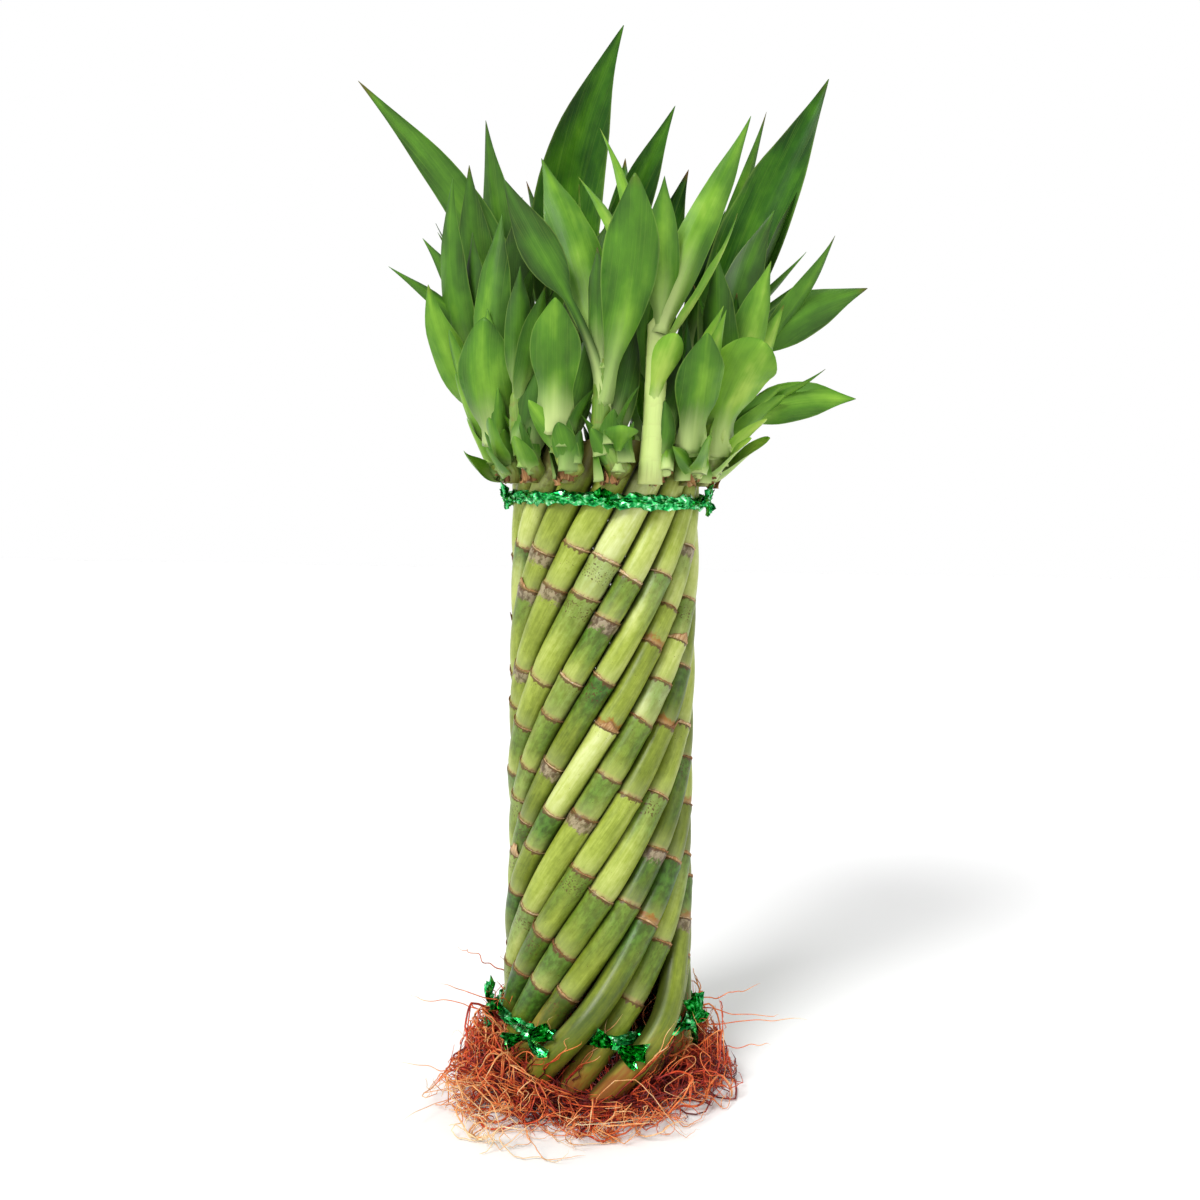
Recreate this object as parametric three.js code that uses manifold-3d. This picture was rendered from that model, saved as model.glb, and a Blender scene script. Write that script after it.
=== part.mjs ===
// A tied tower of lucky bamboo: canes wound side by side into a hollow round bundle,
// a leafy shoot on top of each cane, a root crown under each cane, and two twists of foil.
// Millimetres, Z up. The origin is on the surface that the bundle stands on, on the bundle's axis.
// Angles are measured from the front (-Y), growing to the right (+X).
import * as THREE from "three";
import { mergeVertices } from "three/addons/utils/BufferGeometryUtils.js";
import Module from "manifold-3d";

const wasm = await Module();
wasm.setup();

// Bundle
const CANE_RADII = [5.3, 5.6, 4.9, 4.5, 4.6, 5.2, 4.8, 5.3, 4.7, 5.0, 5.4, 4.8, 5.1, 4.6, 5.2, 5.5];
const CANES = CANE_RADII.length;
const BUNDLE_RADIUS = 37.4;
const FOOT_FLARE = 3.5;
const FOOT_FLARE_HEIGHT = 28;
const WOBBLE = 0.5;
const WOBBLE_PITCH = 37;
const TURN_AT_FOOT = 0.0203;
const TURN_AT_HEAD = 0.016;
const HEAD_ANGLE = -3;
const SLOT_GAP = 0.75;
const CLEARANCE = 0.3;
const WELD = 1e-3;
// The finest detail that is kept, and the grid that points are rounded to, each tried in turn.
const DETAILS = [0.22, 0.18, 0.15, 0.12, 0.1, 0.07];
const GRIDS = [0.01, 0.03, 0.1, 0.2];

// Canes
const CANE_FOOT = 4.8;
const CANE_SIDES = 6;
const HEAD_MIN = 243;
const HEAD_SPREAD = 11;
const CUT_TILT = 22;
const CANE_STEP = 26;
const JOINT_FIRST = 16;
const JOINT_SPREAD = 16;
const JOINT_PITCH_MIN = 14;
const JOINT_PITCH_SPREAD = 28;
const JOINT_RIDGE = 1.06;
const JOINT_GROOVE = 0.96;
const JOINT_STEP = 1.3;
const END_ROOM = 5;
const TAPER = 0.04;

// Ties
const TOP_TIE_Z = 231;
const LOW_TIE_Z = 24;
const TIE_THICK = 1.2;
const TIE_GAP = 0.7;
const TIE_HOLD = 30;
const FOIL_HALF_HEIGHT = 2.8;
const SLIM_FOIL_HALF_HEIGHT = 0.65;
const SLIM_FOIL_HALF_THICK = 0.42;
const SLIM_STRETCH = 1.4;
const JOINT_FREE = 9;
const WOVEN_BEHIND = [9, 11];
const TOP_TIE_STEPS = 32;
// Bunched-up foil: its angle, length and thickness.
const TOP_TUFTS = [[-84, 7, 5.2], [86, 8, 5.6], [-3, 5, 3.6]];
const LOW_TUFTS = [[-82, 6, 5], [-36, 8, 4.2], [9, 7, 4.2], [60, 7, 4.6]];
const SPLAY = 9.5;
const SPLAY_HEIGHT = 22;

// Shoots
const STEM_TOPS = [284, 298, 268, 266, 276, 284, 290, 292, 298, 294, 286, 282, 278, 268, 272, 278];
const STEM_LEANS = { 1: 3, 3: 4, 4: 8, 12: -6, 13: -2 };
const STEM_FOOT_Z = 237;
const SEAT_Z = 241;
const SEAT_SWING = 16;
const STEM_BOW = 4.5;
const STEM_RADIUS = 4.2;
const STEM_TIP_RADIUS = 2.2;
const STEM_SIDES = 6;
const SHOOT_STEP = 360 / CANES;

// Leaves
const SPIRAL_STEP = 137.5;
const BACK_SHOOTS = { first: 5, last: 11 };
const SPIRAL_PITCH = 6;
const BRACT_PITCH = 4;
const BRACT_SPREADS = [0, -80, 75];
const BLADE_THICK = 1.3;
const BLADE_STATIONS = [
  { upTo: 40, at: [0, 0.35, 0.72] },
  { upTo: 85, at: [0, 0.25, 0.52, 0.8] },
  { upTo: Infinity, at: [0, 0.18, 0.4, 0.64, 0.85] },
];
const NECK_WIDTH = 6;
const CELL = 2.2;

// Roots
const CROWN_HEIGHT = 4.5;
const CROWN_SHARE = 0.95;
const STRAND_RADIUS = 0.75;
const STRANDS = 4;
const STRAND_STEPS = 4;
const ROOT_REACH = 62;
const ROOT_FRONT_REACH = 36;
const ROOT_REACH_SPREAD = 12;
const ROOT_FAN = 0.34;
const ROOT_HUMP = 6;

// The leaves that stand out, each with its shoot, its height on the stem and its tip.
// rise: how upright it starts; arch: how it droops; side: sideways bow; face: where its back looks;
// petiole: share of narrow stalk; blunt: 0 pointed to 1 round and clasping.
const LEAVES = [
  [9, 278, [4, 6, 419], 29, { rise: 0.5, arch: 0.3, side: -0.1, face: 180 }],
  [5, 266, [87, 14, 402], 27, { rise: 0.6, arch: -0.2, side: -0.06, face: 160 }],
  [11, 266, [-103, 14, 398], 17, { rise: 0.8, side: 0.12, face: -25 }],
  [0, 266, [8, -50, 345], 25, { rise: 0.4, arch: 0.1, side: 0.06, face: 8, petiole: 0.12, blunt: 0.3 }],
  [1, 292, [52, -25, 376], 17, { rise: 0.4, arch: -0.2, side: -0.02, face: 10, petiole: 0.05 }],
  [0, 278, [-27, -17, 361], 20, { rise: 0.2, side: 0.03 }],
  [0, 260, [-39, -48, 346], 15, { rise: 0.1, arch: 0.05, face: -10, petiole: 0.5 }],
  [13, 252, [-47, -44, 299], 22, { rise: 0.3, arch: 0.1, side: -0.04, face: -15, blunt: 0.6 }],
  [15, 258, [-19, -54, 301], 19, { arch: 0.2, face: -5, petiole: 0.25, blunt: 0.3 }],
  [2, 252, [35, -54, 291], 19, { arch: 0.3, face: 12, blunt: 0.3 }],
  [3, 250, [57, -44, 290], 24, { rise: 0.5, arch: 0.6, side: -0.05, face: 20, blunt: 0.9 }],
  [10, 276, [-52, 24, 386], 18, { rise: 0.3, arch: 0.1, side: -0.03, face: -20 }],
  [11, 274, [-57, 8, 364], 17, { rise: 0.3, arch: 0.2, side: -0.06, face: -10 }],
  [12, 262, [-62, -5, 356], 14, { rise: 0.4, side: -0.08, face: -30 }],
  [8, 292, [26, 22, 394], 18, { rise: 0.7, arch: -0.1, side: -0.08, face: 200 }],
  [1, 284, [46, -44, 336], 8, { rise: 0.2, arch: -0.3, side: 0.02, face: 80 }],
  [7, 284, [32, 26, 368], 18, { rise: 0.4, arch: 0.2, side: -0.06, face: 190 }],
  [8, 282, [-10, 89, 352], 22, { rise: 0.6, arch: 0.4, face: 180 }],
  [4, 264, [65, 2, 347], 18, { rise: 0.5, arch: 0.1, side: -0.1, face: 5 }],
  [4, 272, [88, -6, 336], 9, { rise: 0.6, arch: -0.2, face: 30, petiole: 0.2 }],
  [4, 268, [103, 2, 317], 18, { rise: 0.9, arch: 0.4, side: -0.06, face: 10, petiole: 0.4 }],
  [4, 257, [97, -13, 272], 16, { rise: 0.4, arch: 0.2, side: -0.05, face: 20, petiole: 0.2 }],
  [9, 288, [-13, 12, 358], 8, { rise: 0.5, side: 0.02, face: 50 }],
  [5, 279, [79, 8, 332], 6, { rise: 0.8, arch: 0.2, face: 60, petiole: 0.2 }],
  [5, 273, [79, -4, 321], 7, { rise: 0.8, arch: 0.5, face: 60, petiole: 0.2 }],
  [4, 252, [84, -17, 283], 6, { rise: 0.6, face: 60, petiole: 0.2 }],
  [6, 280, [64, 30, 393], 9, { rise: 0.5, face: 40, petiole: 0.2 }],
  [12, 267, [-88, 0, 322], 8, { rise: 0.9, arch: 0.1, side: 0.12, face: 40, petiole: 0.2 }],
  [12, 272, [-75, 4, 334], 11, { rise: 0.9, arch: 0.2, side: 0.08, face: -20, petiole: 0.2 }],
  [11, 258, [-70, 12, 338], 9, { rise: 0.8, arch: 0.2, side: 0.05, face: 30, petiole: 0.2 }],
  [12, 256, [-71, -8, 314], 15, { rise: 0.6, side: -0.1, face: -20, petiole: 0.2, blunt: 0.3 }],
  [14, 262, [-44, -26, 321], 17, { rise: 0.3, arch: 0.1, side: 0.06, face: -15, petiole: 0.2, blunt: 0.2 }],
  [13, 260, [-42, -12, 341], 16, { rise: 0.3, arch: 0.2, side: -0.03, face: -20, petiole: 0.2 }],
  [2, 260, [42, -38, 300], 9, { rise: 0.2, face: 30 }],
  [1, 268, [24, -58, 287], 10, { rise: 0.2, arch: 0.3, face: 20, petiole: 0, blunt: 0.8 }],
  [0, 244, [5, -57, 258], 13, { rise: 0.3, face: 6, petiole: 0, blunt: 1 }],
  [4, 247, [67, -24, 276], 13, { rise: 0.4, arch: 0.4, face: 40, blunt: 0.4 }],
  [3, 262, [62, -16, 324], 15, { rise: 0.4, face: 20, petiole: 0.2 }],
  [4, 260, [68, -12, 308], 12, { rise: 0.3, arch: 0.2, face: 40, petiole: 0.2, blunt: 0.2 }],
  [12, 249, [-61, -20, 296], 11, { rise: 0.3, arch: 0.2, face: -40 }],
  [6, 284, [50, 20, 352], 18, { rise: 0.3, arch: 0.2, face: 190 }],
  [14, 268, [-20, -30, 318], 14, { rise: 0.3, arch: 0.2, face: -15, petiole: 0.2 }],
  [15, 274, [4, -8, 352], 15, { rise: 0.5, side: 0.05, face: 10 }],
  [2, 264, [45, -24, 332], 16, { rise: 0.5, face: 20 }],
];

// Ways to bend a leaf clear of its neighbours, tried in turn: [backward shift, turn in degrees, scale].
// crosses: the share of a leaf, from its base, that may touch the other leaves of its own shoot.
const CHOSEN = {
  crosses: 0.8,
  shifts: [
    [0, 0, 1], [5, 0, 1], [-5, 0, 1], [10, 0, 1], [-10, 0, 1], [15, 0, 1], [-15, 0, 1],
    [21, 0, 1], [-21, 0, 1], [0, 6, 1], [0, -6, 1], [6, 10, 1], [-6, -10, 1],
    [0, 0, 0.85], [8, 0, 0.85], [-8, 0, 0.85],
  ],
};
const BRACT = {
  crosses: 0.45,
  shifts: [
    [0, 0, 1], [0, 15, 1], [0, -15, 1], [0, 30, 1], [0, -30, 1], [0, 0, 0.8], [0, 45, 0.9], [0, -45, 0.9],
  ],
};
const FILLER = {
  crosses: 0.25,
  shifts: [
    [0, 0, 1], [0, 12, 1], [0, -12, 1], [0, 25, 1], [0, -25, 1], [0, 40, 0.9], [0, -40, 0.9],
    [0, 60, 0.8], [0, -60, 0.8], [0, 0, 0.7], [0, 90, 0.7], [0, -90, 0.7], [0, 140, 0.6], [0, 0, 0.5],
  ],
};

const UP = new THREE.Vector3(0, 0, 1);
const FLATTENED = new THREE.Vector3(0.5, 0.8, 1);
const rad = THREE.MathUtils.degToRad;
const vec = (x, y, z) => new THREE.Vector3(x, y, z);
const outward = (angle) => vec(Math.cos(angle), Math.sin(angle), 0);
const frontAngle = (degrees) => rad(degrees - 90);

// A steady draw between 0 and 1 for the pair (a, b).
function noise(a, b) {
  const s = Math.sin(a * 12.9898 + b * 78.233) * 43758.5453;
  return s - Math.floor(s);
}

// Closed solids from rings of points. A ring of one point is a tip.
function loft(rings, { closed = false, blade = false } = {}) {
  const points = [];
  const faces = [];
  const starts = rings.map((ring) => {
    const start = points.length;
    points.push(...ring);
    return start;
  });
  const spans = closed ? rings.length : rings.length - 1;
  for (let i = 0; i < spans; i++) {
    const here = rings[i].length;
    const next = (i + 1) % rings.length;
    const there = rings[next].length;
    const count = Math.max(here, there);
    for (let j = 0; j < count; j++) {
      const a = starts[i] + (j % here);
      const b = starts[i] + ((j + 1) % here);
      const c = starts[next] + ((j + 1) % there);
      const d = starts[next] + (j % there);
      const across = blade && j % 2 === 0;
      if (here === 1) faces.push([a, c, d]);
      else if (there === 1) faces.push([a, b, d]);
      else if (across) faces.push([a, b, d], [b, c, d]);
      else faces.push([a, b, c], [a, c, d]);
    }
  }
  if (!closed) {
    const last = rings.length - 1;
    for (let j = 1; j < rings[0].length - 1; j++) {
      faces.push([starts[0], starts[0] + j + 1, starts[0] + j]);
    }
    for (let j = 1; j < rings[last].length - 1; j++) {
      faces.push([starts[last], starts[last] + j, starts[last] + j + 1]);
    }
  }
  return solid(points, faces);
}

function solid(points, faces) {
  let volume = 0;
  for (const [a, b, c] of faces) volume += points[a].dot(points[b].clone().cross(points[c]));
  const turned = volume < 0 ? faces.map(([a, b, c]) => [a, c, b]) : faces;
  const geometry = new THREE.BufferGeometry();
  geometry.setAttribute("position", new THREE.Float32BufferAttribute(points.flatMap((p) => p.toArray()), 3));
  geometry.setIndex(turned.flat());
  return geometry;
}

function toSolid(geometry, tolerance) {
  const merged = mergeVertices(geometry, tolerance);
  return new wasm.Manifold(new wasm.Mesh({
    numProp: 3,
    vertProperties: merged.attributes.position.array,
    triVerts: new Uint32Array(merged.index.array),
  }));
}

function toGeometry(body) {
  const mesh = body.getMesh();
  const geometry = new THREE.BufferGeometry();
  geometry.setAttribute("position", new THREE.Float32BufferAttribute(mesh.vertProperties, 3));
  geometry.setIndex(Array.from(mesh.triVerts));
  return geometry;
}

// The outermost skin alone, so a hollow that joining has sealed is filled.
function outerSkin(body) {
  return body.decompose().reduce((best, shell) => (shell.volume() > best.volume() ? shell : best));
}

// True where each edge has exactly two faces, also after points at one place are joined.
function isSound(geometry) {
  const { array } = geometry.attributes.position;
  const place = (i) => array.slice(3 * i, 3 * i + 3).map((value) => Math.round(value / WELD)).join();
  const names = Array.from({ length: array.length / 3 }, (_, i) => place(i));
  const edges = new Map();
  const corners = geometry.index.array;
  corners.forEach((corner, i) => {
    const next = i % 3 === 2 ? corners[i - 2] : corners[i + 1];
    const key = [names[corner], names[next]].sort().join("|");
    edges.set(key, (edges.get(key) ?? 0) + 1);
  });
  return [...edges.values()].every((count) => count === 2);
}

// Joins solids into one and drops its finest detail, in the first way that leaves it sound.
function fuse(geometries) {
  const whole = geometries.map((geometry) => toSolid(geometry, WELD)).reduce((sum, part) => sum.add(part));
  const skin = outerSkin(whole).asOriginal();
  for (const detail of DETAILS) {
    for (const grid of GRIDS) {
      const plain = toGeometry(skin.simplify(detail));
      const places = plain.attributes.position.array;
      places.forEach((value, i) => {
        places[i] = Math.round(value / grid) * grid;
      });
      const done = toGeometry(outerSkin(toSolid(plain, WELD)));
      if (isSound(done)) return done;
    }
  }
  throw new Error("these solids don't join into one sound body");
}

// A ring of points round a centre, square to the direction t, starting on the side that faces out.
function ringPoints(centre, t, radius, sides, out) {
  const n = out.clone().addScaledVector(t, -out.dot(t)).normalize();
  const b = t.clone().cross(n);
  return Array.from({ length: sides }, (_, i) => {
    const a = (2 * Math.PI * i) / sides;
    return centre.clone().addScaledVector(n, radius * Math.cos(a)).addScaledVector(b, radius * Math.sin(a));
  });
}

// How far the canes have turned round the axis at height z, in radians.
function turn(z) {
  return TURN_AT_FOOT * z + ((TURN_AT_HEAD - TURN_AT_FOOT) * z * z) / (2 * TOP_TIE_Z);
}

// Each cane takes a share of the circle that goes with its own thickness.
const CANE_PHASES = (() => {
  const total = CANE_RADII.reduce((sum, r) => sum + 2 * r + SLOT_GAP, 0);
  let at = frontAngle(HEAD_ANGLE) - turn(TOP_TIE_Z);
  return CANE_RADII.map((r, k) => {
    if (k > 0) at += ((CANE_RADII[k - 1] + r + SLOT_GAP) / total) * 2 * Math.PI;
    return at;
  });
})();

const caneAngle = (k, z) => CANE_PHASES[k] + turn(z);
const caneRadius = (k, z) => CANE_RADII[k] * (1 + TAPER * (0.5 - z / 250));

function bell(z, middle, width) {
  return Math.exp(-(((z - middle) / width) ** 2));
}

// Distance of a cane's middle line from the axis of the bundle.
function caneDistance(k, z) {
  const flare = FOOT_FLARE * Math.exp(-z / FOOT_FLARE_HEIGHT);
  const held = Math.max(bell(z, TOP_TIE_Z, TIE_HOLD), bell(z, LOW_TIE_Z, TIE_HOLD));
  const wobble = WOBBLE * (1 - held) * Math.sin(z / WOBBLE_PITCH + 9 * noise(k, 3));
  const splay = WOVEN_BEHIND.includes(k) ? SPLAY * bell(z, LOW_TIE_Z, SPLAY_HEIGHT) : 0;
  return BUNDLE_RADIUS - caneRadius(k, z) + flare + wobble + splay;
}

function canePoint(k, z) {
  return outward(caneAngle(k, z)).multiplyScalar(caneDistance(k, z)).setZ(z);
}

function caneTangent(k, z) {
  return canePoint(k, z + 0.5).sub(canePoint(k, z - 0.5)).normalize();
}

function caneTop(k) {
  return HEAD_MIN + HEAD_SPREAD * noise(k, 11);
}

// Heights of the ring-shaped joints on a cane. None lies under a tie or above the top one.
function caneJoints(k) {
  const joints = [];
  let z = JOINT_FIRST + JOINT_SPREAD * noise(k, 21);
  for (let i = 0; z < TOP_TIE_Z - JOINT_FREE; i++) {
    if (Math.abs(z - LOW_TIE_Z) > JOINT_FREE) joints.push(z);
    z += JOINT_PITCH_MIN + JOINT_PITCH_SPREAD * noise(k, 31 + i) ** 2;
  }
  return joints;
}

// A cane's cross-section, moved along the cane onto a plane through its middle.
function cutRing(k, z, normal) {
  const t = caneTangent(k, z);
  const centre = canePoint(k, z);
  const ring = ringPoints(centre, t, caneRadius(k, z), CANE_SIDES, outward(caneAngle(k, z)));
  return ring.map((p) => p.addScaledVector(t, -p.clone().sub(centre).dot(normal) / t.dot(normal)));
}

function cane(k) {
  const top = caneTop(k);
  const stations = [];
  const joints = caneJoints(k);
  for (const z of joints) stations.push([z, JOINT_RIDGE], [z + JOINT_STEP, JOINT_GROOVE]);
  const marks = [CANE_FOOT, ...joints, top];
  for (let i = 1; i < marks.length; i++) {
    const room = marks[i] - marks[i - 1];
    const extra = Math.round(room / CANE_STEP);
    for (let j = 1; j <= extra; j++) stations.push([marks[i - 1] + (room * j) / (extra + 1), 1]);
  }
  const inside = stations.filter(([z]) => z > CANE_FOOT + END_ROOM && z < top - END_ROOM)
    .sort((a, b) => a[0] - b[0]);
  const rings = inside.map(([z, swell]) => {
    const out = outward(caneAngle(k, z));
    return ringPoints(canePoint(k, z), caneTangent(k, z), caneRadius(k, z) * swell, CANE_SIDES, out);
  });
  const slant = frontAngle(360 * noise(k, 12));
  const cut = UP.clone().addScaledVector(outward(slant), Math.tan(rad(CUT_TILT))).normalize();
  return loft([cutRing(k, CANE_FOOT, UP), ...rings, cutRing(k, top, cut)]);
}

// Root crown under a cane, with its strands spread within the cane's own share of the floor.
function strand(from, angle, reach, lift, wander, seed) {
  const rings = [];
  for (let i = 0; i <= STRAND_STEPS; i++) {
    const s = i / STRAND_STEPS;
    const start = Math.hypot(from.x, from.y);
    const startAngle = Math.atan2(from.y, from.x);
    const gap = Math.atan2(Math.sin(angle - startAngle), Math.cos(angle - startAngle));
    const sway = wander * Math.sin(Math.PI * s) * (noise(seed, 40 + i) - 0.5);
    const a = startAngle + gap * Math.min(1, 1.6 * s) + sway;
    const distance = start + (reach - start) * s;
    const hump = i > 2 ? ROOT_HUMP * Math.sin(Math.PI * s) * (noise(seed, 50 + i) - 0.15) : 0;
    const z = from.z + (lift - from.z) * s * s + hump;
    rings.push(outward(a).multiplyScalar(distance).setZ(Math.max(STRAND_RADIUS + 0.3, z)));
  }
  return loft(rings.map((p, i) => {
    const before = rings[Math.max(0, i - 1)];
    const after = rings[Math.min(STRAND_STEPS, i + 1)];
    const t = after.clone().sub(before).normalize();
    return ringPoints(p, t, STRAND_RADIUS * (1 - (0.35 * i) / STRAND_STEPS), 3, UP);
  }));
}

function rootReach(angle, seed) {
  const front = Math.max(0, -Math.sin(angle));
  return ROOT_REACH + ROOT_FRONT_REACH * front ** 1.5 - ROOT_REACH_SPREAD * noise(seed, 61);
}

function roots(k) {
  const foot = canePoint(k, CANE_FOOT);
  const angle = Math.atan2(foot.y, foot.x);
  const radius = caneRadius(k, 0) * CROWN_SHARE;
  const crown = loft([0, CROWN_HEIGHT].map((z) => (
    ringPoints(foot.clone().setZ(z), UP, radius, CANE_SIDES, outward(angle)))));
  const parts = [crown];
  for (let i = 0; i < STRANDS; i++) {
    const seed = k * 9 + i;
    const to = angle + rad(SHOOT_STEP * ROOT_FAN) * ((2 * i) / (STRANDS - 1) - 1);
    const from = foot.clone().setZ(1.4 + 0.4 * i);
    parts.push(strand(from, to, rootReach(to, seed), 1 + 11 * noise(seed, 62), 0.1, seed));
  }
  const inner = foot.clone().setZ(CROWN_HEIGHT / 2);
  parts.push(strand(inner, angle, 13 + 5 * noise(k, 63), 3 + 6 * noise(k, 64), 0.06, k + 200));
  return fuse(parts);
}

// A shoot's foot sits against its own cane, and its stem then swings to its even share of the circle.
function stemAngle(k, z) {
  const seat = caneAngle(k, Math.min(z, SEAT_Z));
  const share = frontAngle(HEAD_ANGLE + SHOOT_STEP * k);
  return seat + (share - seat) * THREE.MathUtils.smoothstep(z, SEAT_Z, SEAT_Z + SEAT_SWING);
}

function stemPoint(k, z) {
  const s = Math.max(0, (z - SEAT_Z) / (STEM_TOPS[k] - SEAT_Z));
  const bow = Math.sin((Math.min(1.2, s) * Math.PI) / 2);
  const bark = caneDistance(k, SEAT_Z) + caneRadius(k, SEAT_Z);
  const distance = bark + CLEARANCE + stemRadius(k, SEAT_Z) + STEM_BOW * bow;
  const p = outward(stemAngle(k, z)).multiplyScalar(distance).setZ(z);
  p.x += (STEM_LEANS[k] ?? 0) * s;
  return p;
}

function stemRadius(k, z) {
  const s = (z - STEM_FOOT_Z) / (STEM_TOPS[k] - STEM_FOOT_Z);
  return STEM_RADIUS + (STEM_TIP_RADIUS - STEM_RADIUS) * s;
}

function stem(k) {
  const top = STEM_TOPS[k];
  const middle = (STEM_FOOT_Z + top) / 2;
  const profile = [[STEM_FOOT_Z, 0.5], [STEM_FOOT_Z + 2, 0.95], [SEAT_Z + 3, 1], [middle, 1], [top, 1]];
  return loft(profile.map(([z, share]) => (
    ringPoints(stemPoint(k, z), UP, stemRadius(k, z) * share, STEM_SIDES, outward(stemAngle(k, z))))));
}

function bladeWidth(u, blade) {
  if (blade.blunt >= 1) return blade.width * (1 - u ** 2.4) ** 0.7;
  const neck = Math.min(blade.width, NECK_WIDTH + 5 * blade.blunt) * (1 - u) ** 1.5;
  const t = (u - blade.petiole) / (1 - blade.petiole);
  if (t <= 0) return neck;
  if (t >= 1) return 0;
  const fullest = 0.85 + 0.2 * blade.blunt;
  const roundness = 0.95 - 0.45 * blade.blunt;
  const body = blade.width * Math.sin(Math.PI * t ** fullest) ** roundness;
  return t < 0.5 ? Math.max(body, neck) : body;
}

// The blade's middle line is a cubic curve from the stem to the tip.
function makeBlade(k, height, tip, width, shape) {
  const { rise = 0, arch = 0, side = 0, face = 0, petiole = 0.1, blunt = 0 } = shape;
  const base = stemPoint(k, height);
  const chord = tip.clone().sub(base);
  const length = chord.length();
  const along = chord.clone().normalize();
  const across = vec(along.z, 0, -along.x).multiplyScalar(side * length);
  const start = along.clone().multiplyScalar(1 - rise).addScaledVector(UP, rise).normalize();
  const end = along.clone().multiplyScalar(1 + arch).addScaledVector(UP, -arch).normalize();
  const knee = base.clone().addScaledVector(start, 0.36 * length).add(across);
  const bend = tip.clone().addScaledVector(end, -0.34 * length).add(across);
  const facing = vec(Math.sin(rad(face)), -Math.cos(rad(face)), 0.15);
  return { base, knee, bend, tip, length, width, petiole, blunt, facing };
}

function bladeFrame(blade, u) {
  const v = 1 - u;
  const point = blade.base.clone().multiplyScalar(v ** 3)
    .addScaledVector(blade.knee, 3 * v * v * u)
    .addScaledVector(blade.bend, 3 * v * u * u)
    .addScaledVector(blade.tip, u ** 3);
  const t = blade.knee.clone().sub(blade.base).multiplyScalar(v * v)
    .addScaledVector(blade.bend.clone().sub(blade.knee), 2 * v * u)
    .addScaledVector(blade.tip.clone().sub(blade.bend), u * u)
    .normalize();
  const side = blade.facing.clone().cross(t).normalize();
  const normal = t.clone().cross(side);
  const half = 0.5 * bladeWidth(u, blade);
  const cup = half * (0.55 * v ** 1.5 + 0.16);
  return { point, side, normal, half, cup };
}

function bladePoint(blade, u, x) {
  const { point, side, normal, half, cup } = bladeFrame(blade, u);
  return point.addScaledVector(side, x * half).addScaledVector(normal, cup * (1 - Math.abs(x) ** 1.5));
}

function bladeSolid(blade) {
  const stations = BLADE_STATIONS.find(({ upTo }) => blade.length < upTo).at;
  const rings = stations.map((u) => {
    const { point, side, normal, half, cup } = bladeFrame(blade, u);
    const thick = BLADE_THICK * 0.5;
    return [
      point.clone().addScaledVector(side, -half),
      point.clone().addScaledVector(normal, cup + thick),
      point.clone().addScaledVector(side, half),
      point.clone().addScaledVector(normal, cup - thick),
    ];
  });
  return loft([...rings, [blade.tip]], { blade: true });
}

// Space that is taken, as a grid of cells with the shoots that reach into each.
const taken = new Map();

function cellsOf(points) {
  const keys = new Map();
  for (const p of points) {
    const cell = [Math.floor(p.x / CELL), Math.floor(p.y / CELL), Math.floor(p.z / CELL)];
    keys.set(cell.join(), cell);
  }
  return [...keys.values()];
}

function claim(cells, owner) {
  for (const [x, y, z] of cells) {
    for (let i = -1; i <= 1; i++) {
      for (let j = -1; j <= 1; j++) {
        for (let l = -1; l <= 1; l++) {
          const key = `${x + i},${y + j},${z + l}`;
          if (!taken.has(key)) taken.set(key, new Set());
          taken.get(key).add(owner);
        }
      }
    }
  }
}

function isFree(cells, owner) {
  return cells.every((cell) => {
    const owners = taken.get(cell.join());
    return !owners || (owners.size === 1 && owners.has(owner));
  });
}

// Leaves of one shoot share its stem, so only their outer parts keep out of each other's way.
const ownTaken = new Set();

function isFreeOfSisters(cells, owner) {
  return cells.every((cell) => !ownTaken.has(`${owner}:${cell.join()}`));
}

function claimFromSisters(cells, owner) {
  const around = [[0, 0, 0], [1, 0, 0], [-1, 0, 0], [0, 1, 0], [0, -1, 0], [0, 0, 1], [0, 0, -1]];
  for (const [x, y, z] of cells) {
    for (const [i, j, l] of around) ownTaken.add(`${owner}:${x + i},${y + j},${z + l}`);
  }
}

function stemCells(k) {
  const points = [];
  for (let i = 0; i <= 24; i++) {
    const z = STEM_FOOT_Z + ((STEM_TOPS[k] - STEM_FOOT_Z) * i) / 24;
    points.push(...ringPoints(stemPoint(k, z), UP, stemRadius(k, z), 12, outward(stemAngle(k, z))));
  }
  return cellsOf(points);
}

function caneTopCells(k) {
  const points = [];
  for (let z = TOP_TIE_Z; z <= caneTop(k) + CELL; z += CELL / 2) {
    const out = outward(caneAngle(k, z));
    points.push(...ringPoints(canePoint(k, z), caneTangent(k, z), caneRadius(k, z), 12, out));
  }
  return cellsOf(points);
}

function bladeCells(blade, from) {
  const steps = Math.max(6, Math.floor(blade.length / CELL));
  const wide = Math.max(3, Math.floor(blade.width / CELL));
  const points = [];
  for (let i = Math.floor(steps * from) + 1; i <= steps; i++) {
    for (let j = 0; j <= wide; j++) points.push(bladePoint(blade, i / steps, (2 * j) / wide - 1));
  }
  return cellsOf(points);
}

function place(found, k, height, tip, width, shape, { shifts, crosses }) {
  const base = stemPoint(k, height);
  for (const [back, degrees, scale] of shifts) {
    const reach = tip.clone().sub(base);
    reach.y += back;
    reach.applyAxisAngle(UP, rad(degrees)).multiplyScalar(scale);
    const turned = { ...shape, face: (shape.face ?? 0) + degrees };
    const blade = makeBlade(k, height, base.clone().add(reach), width * (0.5 + 0.5 * scale), turned);
    const cells = bladeCells(blade, 0.06);
    const outer = bladeCells(blade, crosses);
    if (isFree(cells, k) && isFreeOfSisters(outer, k)) {
      claim(cells, k);
      claimFromSisters(outer, k);
      found[k].push(blade);
      return;
    }
  }
}

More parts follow.
